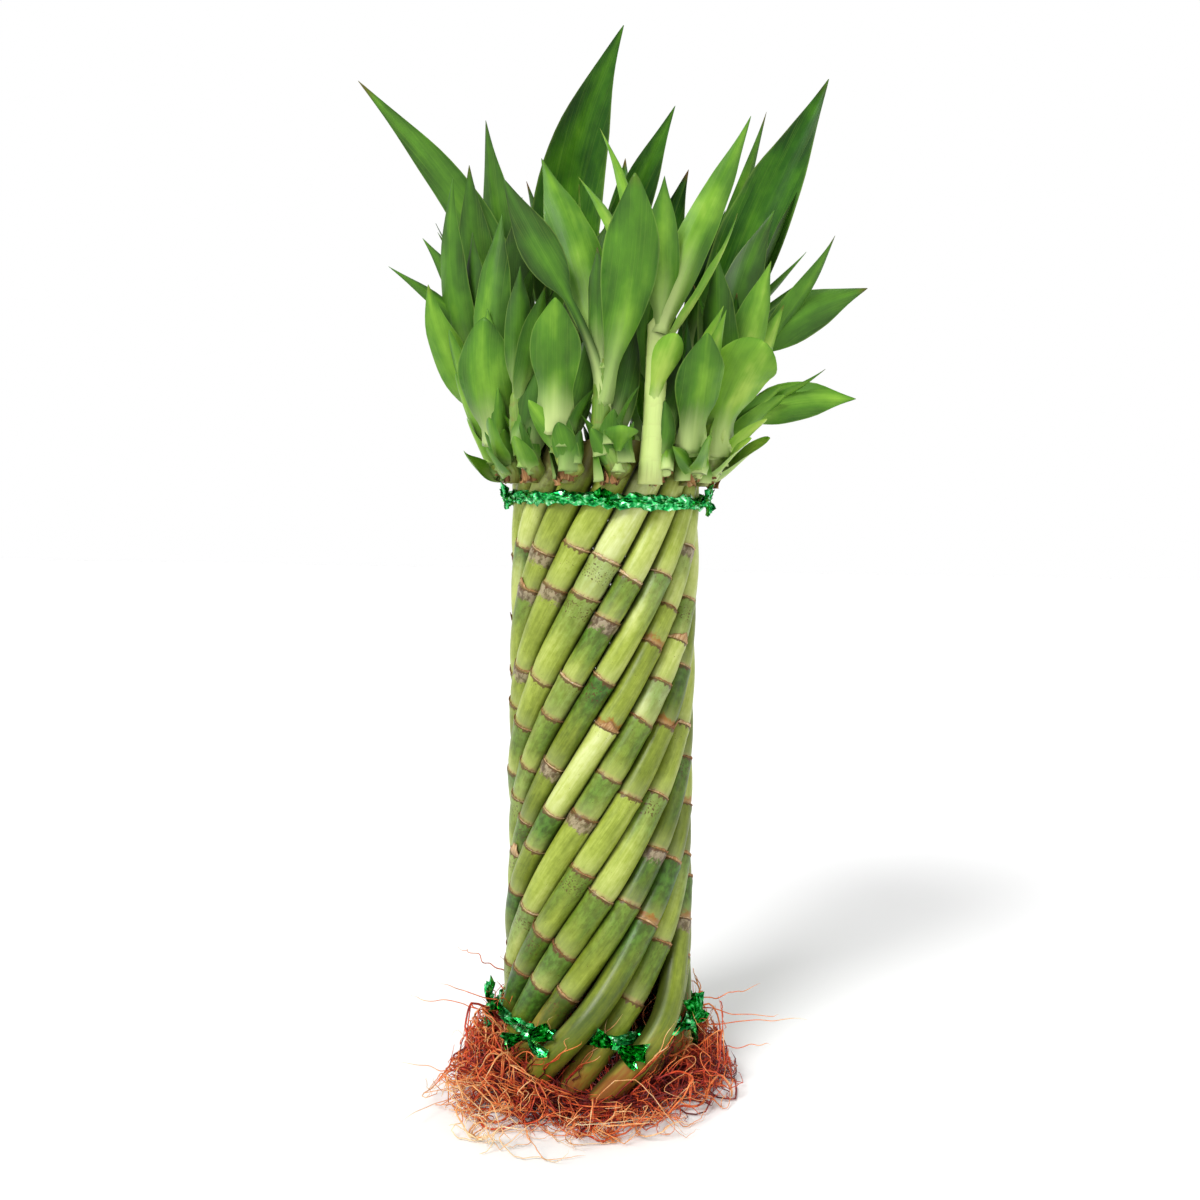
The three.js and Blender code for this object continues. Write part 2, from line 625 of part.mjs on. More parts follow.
// Short cupped leaves that clasp the foot of each stem.
function placeBracts(found, k) {
  BRACT_SPREADS.forEach((spread, i) => {
    const seed = k * 11 + i;
    const height = STEM_FOOT_Z + BRACT_PITCH * (i + 1.1);
    const around = stemAngle(k, height) + rad(spread + 24 * (noise(seed, 5) - 0.5));
    const length = 13 + 7 * noise(seed, 6) + BRACT_PITCH * i;
    const lean = rad(26 + 12 * noise(seed, 7) - 3 * i);
    const tip = stemPoint(k, height)
      .addScaledVector(outward(around), length * Math.sin(lean))
      .addScaledVector(UP, length * Math.cos(lean));
    const face = THREE.MathUtils.radToDeg(around) + 90;
    const width = 10 + 3 * noise(seed, 7);
    place(found, k, height, tip, width, { rise: -0.35, arch: -0.2, face, petiole: 0, blunt: 1 }, BRACT);
  });
}

// Leaves in a spiral up each stem, long ones at the back and shorter ones inside the front.
function placeSpiral(found, k) {
  const atBack = k >= BACK_SHOOTS.first && k <= BACK_SHOOTS.last;
  const out = stemAngle(k, STEM_TOPS[k]);
  const pull = atBack ? 0.7 : -0.7;
  const pulled = outward(out).multiplyScalar(pull);
  for (let i = 0; i < (atBack ? 5 : 3); i++) {
    const seed = k * 7 + i;
    const long = atBack && i < 3;
    const height = STEM_TOPS[k] - 4 - SPIRAL_PITCH * i;
    const around = out + rad(SPIRAL_STEP * i + 60 * (noise(seed, 1) - 0.5));
    const length = long ? 70 + 28 * noise(seed, 2) : 44 + 22 * noise(seed, 2);
    const lean = rad(14 + 18 * noise(seed, 3));
    const reach = outward(around).add(pulled).multiply(FLATTENED);
    const tip = stemPoint(k, height)
      .addScaledVector(reach, length * Math.sin(lean))
      .addScaledVector(UP, length * Math.cos(lean));
    const face = THREE.MathUtils.radToDeg(Math.atan2(reach.y, reach.x)) + 90;
    const width = (long ? 16 : 12) + 5 * noise(seed, 4);
    place(found, k, height, tip, width, { rise: 0.4, arch: 0.25, face }, FILLER);
  }
}

function placeAll() {
  const found = CANE_RADII.map(() => []);
  found.forEach((_, k) => claim(stemCells(k), k));
  found.forEach((_, k) => claim(caneTopCells(k), "cane"));
  for (const [k, height, tip, width, shape] of LEAVES) {
    place(found, k, height, vec(...tip), width, shape, CHOSEN);
  }
  found.forEach((_, k) => placeBracts(found, k));
  found.forEach((_, k) => placeSpiral(found, k));
  return found;
}

// Foil ties: a flattened, crinkled strand that closes on itself.
function foilRing(marks, path, seed) {
  const rings = marks.map((mark, i) => {
    const { centre, out, halfHeight, halfThick } = path(mark);
    const tall = halfHeight * (0.75 + 0.5 * noise(seed, i));
    const shift = 0.25 * tall * (noise(seed + 1, i) - 0.5);
    const skew = 0.5 * (noise(seed + 2, i) - 0.5);
    const outer = halfThick * (0.7 + 0.5 * noise(seed + 3, i));
    const corners = [[-halfThick, -1], [outer, -1 + skew], [outer, 1 + skew], [-halfThick, 1]];
    return corners.map(([x, z]) => (
      centre.clone().addScaledVector(out, x).addScaledVector(UP, z * tall + shift)));
  });
  return loft(rings, { closed: true });
}

function tuft(centre, reach, size, seed) {
  const rings = [0, 0.35, 0.7, 1].map((s, i) => {
    const t = reach.clone().normalize();
    const belly = Math.sin(Math.PI * (0.15 + 0.7 * s)) * (0.6 + 0.6 * noise(seed, i));
    const swell = size * (0.55 + 0.9 * belly);
    const twist = i % 2 ? UP : vec(0.4, 0.5, 1);
    return ringPoints(centre.clone().addScaledVector(reach, s), t, swell / 2, 5, twist);
  });
  return loft(rings);
}

function tuftAt(degrees, distance, z, long, size, seed) {
  const out = outward(frontAngle(degrees));
  const along = out.clone().cross(UP).negate();
  const centre = out.clone().multiplyScalar(distance).setZ(z).addScaledVector(along, -long / 2);
  return tuft(centre, along.multiplyScalar(long).add(vec(0, 0, 1)), size, seed);
}

function topTie() {
  const inner = BUNDLE_RADIUS + TIE_GAP;
  const marks = Array.from({ length: TOP_TIE_STEPS }, (_, i) => i / TOP_TIE_STEPS);
  const ring = foilRing(marks, (s) => {
    const out = outward(2 * Math.PI * s);
    const centre = out.clone().multiplyScalar(inner + 1).setZ(TOP_TIE_Z + 0.6 * Math.sin(4 * Math.PI * s));
    return { centre, out, halfHeight: FOIL_HALF_HEIGHT, halfThick: 1 };
  }, 70);
  const tufts = TOP_TUFTS.map(([degrees, long, size], i) => (
    tuftAt(degrees, inner + 0.6 * size, TOP_TIE_Z - 1, long, size, 80 + i)));
  return fuse([ring, ...tufts]);
}

// The lower tie passes outside most canes and behind the ones that stand out.
function lowTie() {
  const flare = FOOT_FLARE * Math.exp(-LOW_TIE_Z / FOOT_FLARE_HEIGHT);
  const outside = BUNDLE_RADIUS + flare + TIE_GAP + TIE_THICK / 2;
  const isBehind = (k) => WOVEN_BEHIND.includes(k % CANES);
  const posts = CANE_RADII.map((_, k) => {
    const inside = caneDistance(k, LOW_TIE_Z) - caneRadius(k, LOW_TIE_Z) - TIE_GAP - TIE_THICK / 2;
    return { angle: caneAngle(k, LOW_TIE_Z), distance: isBehind(k) ? inside : outside };
  });
  const marks = posts.flatMap((_, k) => {
    const steps = isBehind(k) || isBehind(k + 1) ? 6 : 2;
    return Array.from({ length: steps }, (_, i) => k + i / steps);
  });
  const ring = foilRing(marks, (mark) => {
    const k = Math.floor(mark);
    const here = posts[k];
    const next = posts[(k + 1) % CANES];
    const gap = next.angle > here.angle ? next.angle - here.angle : next.angle + 2 * Math.PI - here.angle;
    const ease = (1 - Math.cos(Math.PI * (mark - k))) / 2;
    const out = outward(here.angle + gap * (mark - k));
    const distance = here.distance + (next.distance - here.distance) * ease;
    const slim = WOVEN_BEHIND.some((w) => Math.abs(mark - w) < SLIM_STRETCH);
    const centre = out.clone().multiplyScalar(distance).setZ(LOW_TIE_Z);
    const halfHeight = slim ? SLIM_FOIL_HALF_HEIGHT : FOIL_HALF_HEIGHT;
    const halfThick = slim ? SLIM_FOIL_HALF_THICK : TIE_THICK / 2;
    return { centre, out, halfHeight, halfThick };
  }, 90);
  const tufts = LOW_TUFTS.map(([degrees, long, size], i) => (
    tuftAt(degrees, outside + 0.6 * size, LOW_TIE_Z + 0.5, long, size, 95 + i)));
  return fuse([ring, ...tufts]);
}

const skins = {
  cane: new THREE.MeshStandardMaterial({ color: 0x9bab55, roughness: 0.45, metalness: 0 }),
  shoot: new THREE.MeshStandardMaterial({ color: 0x4f8a2c, roughness: 0.4, metalness: 0 }),
  root: new THREE.MeshStandardMaterial({ color: 0xb5572f, roughness: 0.8, metalness: 0 }),
  foil: new THREE.MeshStandardMaterial({ color: 0x0c8a48, roughness: 0.25, metalness: 1 }),
};

const bundle = new THREE.Group();

function add(name, geometry, skin) {
  const mesh = new THREE.Mesh(geometry, skins[skin]);
  mesh.name = name;
  bundle.add(mesh);
}

const number = (k) => String(k + 1).padStart(2, "0");
const blades = placeAll();
CANE_RADII.forEach((_, k) => {
  add(`cane_${number(k)}`, cane(k), "cane");
  add(`roots_${number(k)}`, roots(k), "root");
  add(`shoot_${number(k)}`, fuse([stem(k), ...blades[k].map(bladeSolid)]), "shoot");
});
add("tie_top", topTie(), "foil");
add("tie_bottom", lowTie(), "foil");

export default bundle;
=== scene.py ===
"""The looks of a tied tower of lucky bamboo: canes, leafy shoots, roots and foil twists.

Shapes are worked out in millimetres, in the part's own frame, from the same driving
dimensions as the solids, and are written to Blender in metres. Angles are measured from
the front (-Y), growing to the right (+X). Every random draw is a fixed function of its seed.
"""
import math
import bpy
import numpy as np
from mathutils import Matrix, Vector


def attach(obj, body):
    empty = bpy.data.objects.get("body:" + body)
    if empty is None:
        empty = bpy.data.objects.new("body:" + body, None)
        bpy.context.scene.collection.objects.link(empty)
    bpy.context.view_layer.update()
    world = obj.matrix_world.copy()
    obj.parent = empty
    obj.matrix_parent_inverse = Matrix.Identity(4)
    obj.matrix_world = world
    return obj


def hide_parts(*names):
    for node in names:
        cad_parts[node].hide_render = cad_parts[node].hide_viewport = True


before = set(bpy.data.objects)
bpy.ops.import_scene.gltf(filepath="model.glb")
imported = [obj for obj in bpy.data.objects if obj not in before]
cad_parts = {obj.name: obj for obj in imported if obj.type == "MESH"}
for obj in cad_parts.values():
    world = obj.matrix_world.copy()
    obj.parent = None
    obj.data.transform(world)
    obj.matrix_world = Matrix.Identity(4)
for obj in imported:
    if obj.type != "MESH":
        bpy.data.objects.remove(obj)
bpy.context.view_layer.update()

MM = 0.001
UP = np.array([0.0, 0.0, 1.0])

# Bundle
CANE_RADII = np.array([5.3, 5.6, 4.9, 4.5, 4.6, 5.2, 4.8, 5.3, 4.7, 5.0, 5.4, 4.8, 5.1, 4.6, 5.2, 5.5])
CANES = len(CANE_RADII)
BUNDLE_RADIUS = 37.4
FOOT_FLARE = 3.5
FOOT_FLARE_HEIGHT = 28
WOBBLE = 0.5
WOBBLE_PITCH = 37
TURN_AT_FOOT = 0.0203
TURN_AT_HEAD = 0.016
HEAD_ANGLE = -3
SLOT_GAP = 0.75
CLEARANCE = 0.3

# Canes
CANE_FOOT = 4.8
HEAD_MIN = 243
HEAD_SPREAD = 11
CUT_TILT = 22
JOINT_FIRST = 16
JOINT_SPREAD = 16
JOINT_PITCH_MIN = 14
JOINT_PITCH_SPREAD = 28
TAPER = 0.04

# Ties
TOP_TIE_Z = 231
LOW_TIE_Z = 24
TIE_GAP = 0.7
TIE_THICK = 1.2
TIE_HOLD = 30
JOINT_FREE = 9
WOVEN_BEHIND = (9, 11)
SPLAY = 9.5
SPLAY_HEIGHT = 22
TOP_TUFTS = ((-84, 7, 5.2), (86, 8, 5.6), (-3, 5, 3.6))
LOW_TUFTS = ((-82, 6, 5), (-36, 8, 4.2), (9, 7, 4.2), (60, 7, 4.6))

# Shoots
STEM_TOPS = (284, 298, 268, 266, 276, 284, 290, 292, 298, 294, 286, 282, 278, 268, 272, 278)
STEM_LEANS = {1: 3, 3: 4, 4: 8, 12: -6, 13: -2}
STEM_FOOT_Z = 237
SEAT_Z = 241
SEAT_SWING = 16
STEM_BOW = 4.5
STEM_RADIUS = 4.2
STEM_TIP_RADIUS = 2.2
SHOOT_STEP = 360 / CANES
SPIRAL_STEP = 137.5
BACK_SHOOTS = (5, 11)
SPIRAL_PITCH = 6
BRACT_PITCH = 4
BRACT_SPREADS = (0, -80, 75)
FLATTENED = np.array([0.5, 0.8, 1.0])
NECK_WIDTH = 6
CELL = 2.2


# The leaves that stand out: shoot, height on its stem, tip, width, the values that LEAF_COLUMNS names,
# and any others by their own names.
# rise: how upright it starts; arch: how it droops; side: sideways bow; face: where its back looks;
# petiole: share of narrow stalk; blunt: 0 pointed to 1 round and clasping; tone: 0 dark to 1 lime;
# pale: how pale its foot is. The rest shape the finished leaf only. full: where it is widest; slim: its
# width against the given one; foot: the width of its foot against its own; round: in place of blunt;
# stalk: share of its finished stalk; sway: how the lower middle is moved.
PLAIN_LEAF = dict(face=0, tone=0.4, rise=0, arch=0, side=0, petiole=0.1, blunt=0, pale=0.5, slim=1,
                  full=0.41, sway=(0, 0, 0))
LEAF_COLUMNS = ("face", "tone", "rise", "arch", "side")
LEAVES = (
    (9, 278, (4, 6, 419), 29, 180, 0.35, 0.5, 0.3, -0.1),
    (5, 266, (87, 14, 402), 27, 160, 0.3, 0.6, -0.2, -0.06),
    (11, 266, (-103, 14, 398), 17, -25, 0.4, 0.8, 0, 0.12),
    (0, 266, (8, -50, 345), 25, 8, 0.45, 0.4, 0.1, 0.06, dict(petiole=0.12, blunt=0.3, slim=0.82,
     full=0.6)),
    (1, 292, (52, -25, 376), 17, 10, 0.62, 0.4, -0.2, -0.02, dict(petiole=0.05, pale=0.9, foot=0.56,
     slim=0.8, full=0.34, sway=(2, 0, -3))),
    (0, 278, (-27, -17, 361), 20, 0, 0.56, 0.2, 0, 0.03),
    (0, 260, (-39, -48, 346), 15, -10, 0.25, 0.1, 0.05, dict(petiole=0.5, pale=1, foot=0.5, stalk=0.52,
     sway=(15, -6, -2))),
    (13, 252, (-47, -44, 299), 22, -15, 0.49, 0.3, 0.1, -0.04, dict(blunt=0.6, pale=0.8, full=0.5,
     foot=0.55, slim=1.1)),
    (15, 258, (-19, -54, 301), 19, -5, 0.56, 0, 0.2, dict(petiole=0.25, blunt=0.3, pale=1, full=0.52,
     foot=0.9, slim=0.94)),
    (2, 252, (35, -54, 291), 19, 12, 0.49, 0, 0.3, dict(blunt=0.3, pale=0.9, full=0.56, foot=0.7,
     slim=0.94)),
    (3, 250, (57, -44, 290), 24, 20, 0.78, 0.5, 0.6, -0.05, dict(blunt=0.9, pale=1, full=0.68, foot=0.62,
     slim=1.06)),
    (10, 276, (-52, 24, 386), 18, -20, 0.37, 0.3, 0.1, -0.03),
    (11, 274, (-57, 8, 364), 17, -10, 0.38, 0.3, 0.2, -0.06),
    (12, 262, (-62, -5, 356), 14, -30, 0.42, 0.4, 0, -0.08),
    (8, 292, (26, 22, 394), 18, 200, 0.35, 0.7, -0.1, -0.08),
    (1, 284, (46, -44, 336), 8, 80, 0.8, 0.2, -0.3, 0.02),
    (7, 284, (32, 26, 368), 18, 190, 0.2, 0.4, 0.2, -0.06),
    (8, 282, (-10, 89, 352), 22, 180, 0.35, 0.6, 0.4),
    (4, 264, (65, 2, 347), 18, 5, 0.25, 0.5, 0.1, -0.1),
    (4, 272, (88, -6, 336), 9, 30, 0.4, 0.6, -0.2, dict(petiole=0.2)),
    (4, 268, (103, 2, 317), 18, 10, 0.35, 0.9, 0.4, -0.06, dict(petiole=0.4)),
    (4, 257, (97, -13, 272), 16, 20, 0.6, 0.4, 0.2, -0.05, dict(petiole=0.2)),
    (9, 288, (-13, 12, 358), 8, 50, 0.75, 0.5, 0, 0.02),
    (5, 279, (79, 8, 332), 6, 60, 0.45, 0.8, 0.2, dict(petiole=0.2)),
    (5, 273, (79, -4, 321), 7, 60, 0.45, 0.8, 0.5, dict(petiole=0.2)),
    (4, 252, (84, -17, 283), 6, 60, 0.5, 0.6, dict(petiole=0.2)),
    (6, 280, (64, 30, 393), 9, 40, 0.45, 0.5, dict(petiole=0.2)),
    (12, 267, (-88, 0, 322), 8, 40, 0.4, 0.9, 0.1, 0.12, dict(petiole=0.2)),
    (12, 272, (-75, 4, 334), 11, -20, 0.45, 0.9, 0.2, 0.08, dict(petiole=0.2)),
    (11, 258, (-70, 12, 338), 9, 30, 0.45, 0.8, 0.2, 0.05, dict(petiole=0.2)),
    (12, 256, (-71, -8, 314), 15, -20, 0.7, 0.6, 0, -0.1, dict(petiole=0.2, blunt=0.3)),
    (14, 262, (-44, -26, 321), 17, -15, 0.5, 0.3, 0.1, 0.06, dict(petiole=0.2, blunt=0.2)),
    (13, 260, (-42, -12, 341), 16, -20, 0.4, 0.3, 0.2, -0.03, dict(petiole=0.2)),
    (2, 260, (42, -38, 300), 9, 30, 0.6, 0.2),
    (1, 268, (24, -58, 287), 10, 20, 0.85, 0.2, 0.3, dict(petiole=0, blunt=0.8)),
    (0, 244, (5, -57, 258), 13, 6, 0.62, 0.3, dict(petiole=0, blunt=1, round=0.95, full=0.86, pale=0.9)),
    (4, 247, (67, -24, 276), 13, 40, 0.65, 0.4, 0.4, dict(blunt=0.4)),
    (3, 262, (62, -16, 324), 15, 20, 0.7, 0.4, dict(petiole=0.2)),
    (4, 260, (68, -12, 308), 12, 40, 0.75, 0.3, 0.2, dict(petiole=0.2, blunt=0.2)),
    (12, 249, (-61, -20, 296), 11, -40, 0.6, 0.3, 0.2),
    (6, 284, (50, 20, 352), 18, 190, 0.25, 0.3, 0.2),
    (14, 268, (-20, -30, 318), 14, -15, 0.2, 0.3, 0.2, dict(petiole=0.2)),
    (15, 274, (4, -8, 352), 15, 10, 0.25, 0.5, 0, 0.05),
    (2, 264, (45, -24, 332), 16, 20, 0.25, 0.5),
)

# More leaves at the feet of the front shoots. They stand as they are given. Only one has a stalk.
FOOT_LEAF_COLUMNS = ("face", "tone", "blunt", "pale", "rise", "arch", "side", "full", "foot")
FOOT_LEAVES = (
    (15, 247, (-29, -48, 267), 9, -20, 0.68, 0.7, 0.8, 0.2),
    (15, 243, (-18, -50, 259), 10, -5, 0.4, 0.9, 0.6, 0.2),
    (0, 241, (-6, -50, 257), 9, -25, 0.42, 0.8, 0.6, 0.2),
    (1, 264, (24, -56, 291), 11, 15, 0.84, 0.85, 1, 0.3, 0, -0.04, 0.76, 0.62),
    (2, 262, (42, -42, 303), 8, 25, 0.8, 0, 0.6, 0.4, 0, -0.05, dict(petiole=0.1)),
    (3, 241, (54, -36, 255), 8, 45, 0.85, 0.8, 0.9, 0.1, 0.2),
    (3, 245, (61, -25, 263), 8, 50, 0.9, 0.8, 1, 0.1, 0.3),
    (4, 243, (69, -14, 273), 15, 55, 0.7, 0.9, 1, 0.1, 0, -0.1),
    (4, 240, (63, -19, 256), 11, 60, 0.88, 0.9, 1, 0.1, 0.2),
    (2, 242, (37, -47, 255), 11, 30, 0.65, 0.9, 0.7, 0.2),
    (2, 241, (24, -47, 251), 7, 10, 0.6, 0.4, 0.6, 0.1),
    (12, 239, (-55, -21, 249), 8, -60, 0.75, 0.9, 0.8, -0.1, -0.3),
    (12, 243, (-55, -11, 262), 10, -70, 0.7, 1, 0.7, -0.1, -0.3),
    (13, 241, (-45, -33, 250), 8, -40, 0.5, 0.8, 0.7, -0.1, -0.2),
    (13, 244, (-44, -38, 261), 11, -35, 0.6, 0.8, 0.8, -0.1, -0.2),
    (12, 248, (-59, -16, 279), 12, -60, 0.66, 0.9, 0.7, -0.1, -0.3),
    (12, 254, (-62, -14, 296), 12, -40, 0.55, 0.6, 0.6, 0.1, -0.2),
    (14, 242, (-34, -44, 254), 10, -30, 0.55, 0.9, 0.7, 0.1),
    (14, 246, (-26, -36, 280), 14, -10, 0.2, 0.3, 0.5, 0.3),
    (15, 250, (-8, -34, 292), 15, 5, 0.15, 0.2, 0.5, 0.3),
    (1, 248, (29, -32, 288), 14, 20, 0.15, 0.2, 0.5, 0.3),
    (1, 245, (21, -43, 268), 11, 20, 0.25, 0.6, 0.5, 0.2),
    (0, 250, (9, -34, 300), 15, 0, 0.15, 0.2, 0.5, 0.3),
    (0, 286, (-5, -12, 374), 6, 20, 0.75, 0, 0.5, 0.9, -0.1, 0.16, 0.5),
    (0, 284, (-13, -14, 355), 7, 30, 0.75, 0, 0.5, 0.9, -0.1, 0.2, 0.5),
)

# Ways to bend a leaf clear of its neighbours, tried in turn: (backward shift, turn in degrees, scale).
# crosses: the share of a leaf, from its base, that may touch the other leaves of its own shoot.
CHOSEN = dict(crosses=0.8, shifts=(
    (0, 0, 1), (5, 0, 1), (-5, 0, 1), (10, 0, 1), (-10, 0, 1), (15, 0, 1), (-15, 0, 1),
    (21, 0, 1), (-21, 0, 1), (0, 6, 1), (0, -6, 1), (6, 10, 1), (-6, -10, 1),
    (0, 0, 0.85), (8, 0, 0.85), (-8, 0, 0.85),
))
BRACT = dict(crosses=0.45, shifts=(
    (0, 0, 1), (0, 15, 1), (0, -15, 1), (0, 30, 1), (0, -30, 1), (0, 0, 0.8), (0, 45, 0.9), (0, -45, 0.9),
))
FILLER = dict(crosses=0.25, shifts=(
    (0, 0, 1), (0, 12, 1), (0, -12, 1), (0, 25, 1), (0, -25, 1), (0, 40, 0.9), (0, -40, 0.9),
    (0, 60, 0.8), (0, -60, 0.8), (0, 0, 0.7), (0, 90, 0.7), (0, -90, 0.7), (0, 140, 0.6), (0, 0, 0.5),
))

# The leaves of the spirals: lengths and widths of the long and of the short ones, and how they lean.
SPIRAL_LONG = ((70, 98), (16, 21))
SPIRAL_SHORT = ((44, 66), (12, 17))
SPIRAL_LEAN = (14, 32)

# Leaves that fill the inside of the crown: how many to try on each shoot, their sizes and their limits.
FILL_TRIES = 60
FILL_LENGTH = (34, 86)
FILL_WIDTH = (11, 19)
FILL_LEAN = (5, 34)
FILL_TOP_FRONT = 345
FILL_TOP_BACK = 375
FILL_SIDE = 78


def noise(a, b):
    """A steady draw between 0 and 1 for the pair (a, b)."""
    s = np.sin(a * 12.9898 + b * 78.233) * 43758.5453
    return s - np.floor(s)


def smoothstep(t):
    t = np.clip(t, 0.0, 1.0)
    return t * t * (3 - 2 * t)


def between(limits, share):
    return limits[0] + (limits[1] - limits[0]) * share


def stacked(*parts):
    """Values side by side in a new last axis, each spread over all the points."""
    return np.stack(np.broadcast_arrays(*parts), axis=-1)


def vector(x, y, z):
    return np.array([x, y, z], dtype=float)


def unit(v):
    return v / np.maximum(np.linalg.norm(v, axis=-1, keepdims=True), 1e-9)


def at_height(flat, z):
    """The same places at another height."""
    flat = np.array(flat)
    flat[..., 2] = z
    return flat


def outward(angle):
    return stacked(np.cos(angle), np.sin(angle), 0.0)


def circle(steps):
    return np.arange(steps) * 2 * math.pi / steps


def front_angle(degrees):
    return math.radians(degrees - 90)


def apart(a, b):
    """The angle from b to a, between -pi and pi."""
    return np.angle(np.exp(1j * (a - b)))


def bearing(at):
    return np.arctan2(at[:, 1], at[:, 0])


def distance_of(at):
    return np.hypot(at[:, 0], at[:, 1])


def leaning(base, way, length, lean):
    """The point at a length from the base, leaning away from upright by an angle."""
    return base + way * length * math.sin(lean) + UP * length * math.cos(lean)


def rolled(side, normal, angle):
    """Two directions at each station, turned about the third one."""
    c = np.cos(angle)[:, None]
    s = np.sin(angle)[:, None]
    return side * c + normal * s, normal * c - side * s


def turn(z):
    """How far the canes have turned round the axis at height z, in radians."""
    return TURN_AT_FOOT * z + (TURN_AT_HEAD - TURN_AT_FOOT) * z * z / (2 * TOP_TIE_Z)


def cane_phases():
    """Each cane takes a share of the circle that goes with its own thickness."""
    total = np.sum(2 * CANE_RADII + SLOT_GAP)
    steps = (CANE_RADII[:-1] + CANE_RADII[1:] + SLOT_GAP) / total * 2 * math.pi
    start = front_angle(HEAD_ANGLE) - turn(TOP_TIE_Z)
    return start + np.concatenate([[0.0], np.cumsum(steps)])


PHASES = cane_phases()


def cane_angle(k, z):
    return PHASES[k] + turn(z)


def cane_radius(k, z):
    return CANE_RADII[k] * (1 + TAPER * (0.5 - z / 250))


def bell(z, middle, width):
    """A hump of height 1 round the middle."""
    return np.exp(-((z - middle) / width) ** 2)


def cane_distance(k, z):
    """Distance of a cane's middle line from the axis of the bundle."""
    flare = FOOT_FLARE * np.exp(-z / FOOT_FLARE_HEIGHT)
    held = np.maximum(bell(z, TOP_TIE_Z, TIE_HOLD), bell(z, LOW_TIE_Z, TIE_HOLD))
    wobble = WOBBLE * (1 - held) * np.sin(z / WOBBLE_PITCH + 9 * noise(k, 3))
    splay = SPLAY * bell(z, LOW_TIE_Z, SPLAY_HEIGHT) if k in WOVEN_BEHIND else 0
    return BUNDLE_RADIUS - cane_radius(k, z) + flare + wobble + splay


def cane_point(k, z):
    flat = outward(cane_angle(k, z)) * cane_distance(k, z)[..., None]
    return at_height(flat, z)


def cane_tangent(k, z):
    return unit(cane_point(k, z + 0.5) - cane_point(k, z - 0.5))


def cane_top(k):
    return HEAD_MIN + HEAD_SPREAD * noise(k, 11)


def cane_joints(k):
    """Heights of the ring-shaped joints on a cane. None lies under a tie or above the top one."""
    joints = []
    z = JOINT_FIRST + JOINT_SPREAD * noise(k, 21)
    i = 0
    while z < TOP_TIE_Z - JOINT_FREE:
        if abs(z - LOW_TIE_Z) > JOINT_FREE:
            joints.append(z)
        z += JOINT_PITCH_MIN + JOINT_PITCH_SPREAD * noise(k, 31 + i) ** 2
        i += 1
    return joints


def stem_radius(k, z):
    s = (z - STEM_FOOT_Z) / (STEM_TOPS[k] - STEM_FOOT_Z)
    return STEM_RADIUS + (STEM_TIP_RADIUS - STEM_RADIUS) * s


def stem_angle(k, z):
    """A shoot's foot sits against its own cane, then its stem swings to its share of the circle."""
    seat = cane_angle(k, np.minimum(z, SEAT_Z))
    share = front_angle(HEAD_ANGLE + SHOOT_STEP * k)
    return seat + (share - seat) * smoothstep((z - SEAT_Z) / SEAT_SWING)


def stem_point(k, z):
    s = np.maximum(0, (z - SEAT_Z) / (STEM_TOPS[k] - SEAT_Z))
    bow = np.sin(np.minimum(1.2, s) * math.pi / 2)
    bark = cane_distance(k, SEAT_Z) + cane_radius(k, SEAT_Z)
    distance = bark + CLEARANCE + stem_radius(k, SEAT_Z) + STEM_BOW * bow
    point = at_height(outward(stem_angle(k, z)) * distance[..., None], z)
    point[..., 0] += STEM_LEANS.get(k, 0) * s
    return point


def is_at_back(k):
    return BACK_SHOOTS[0] <= k <= BACK_SHOOTS[1]


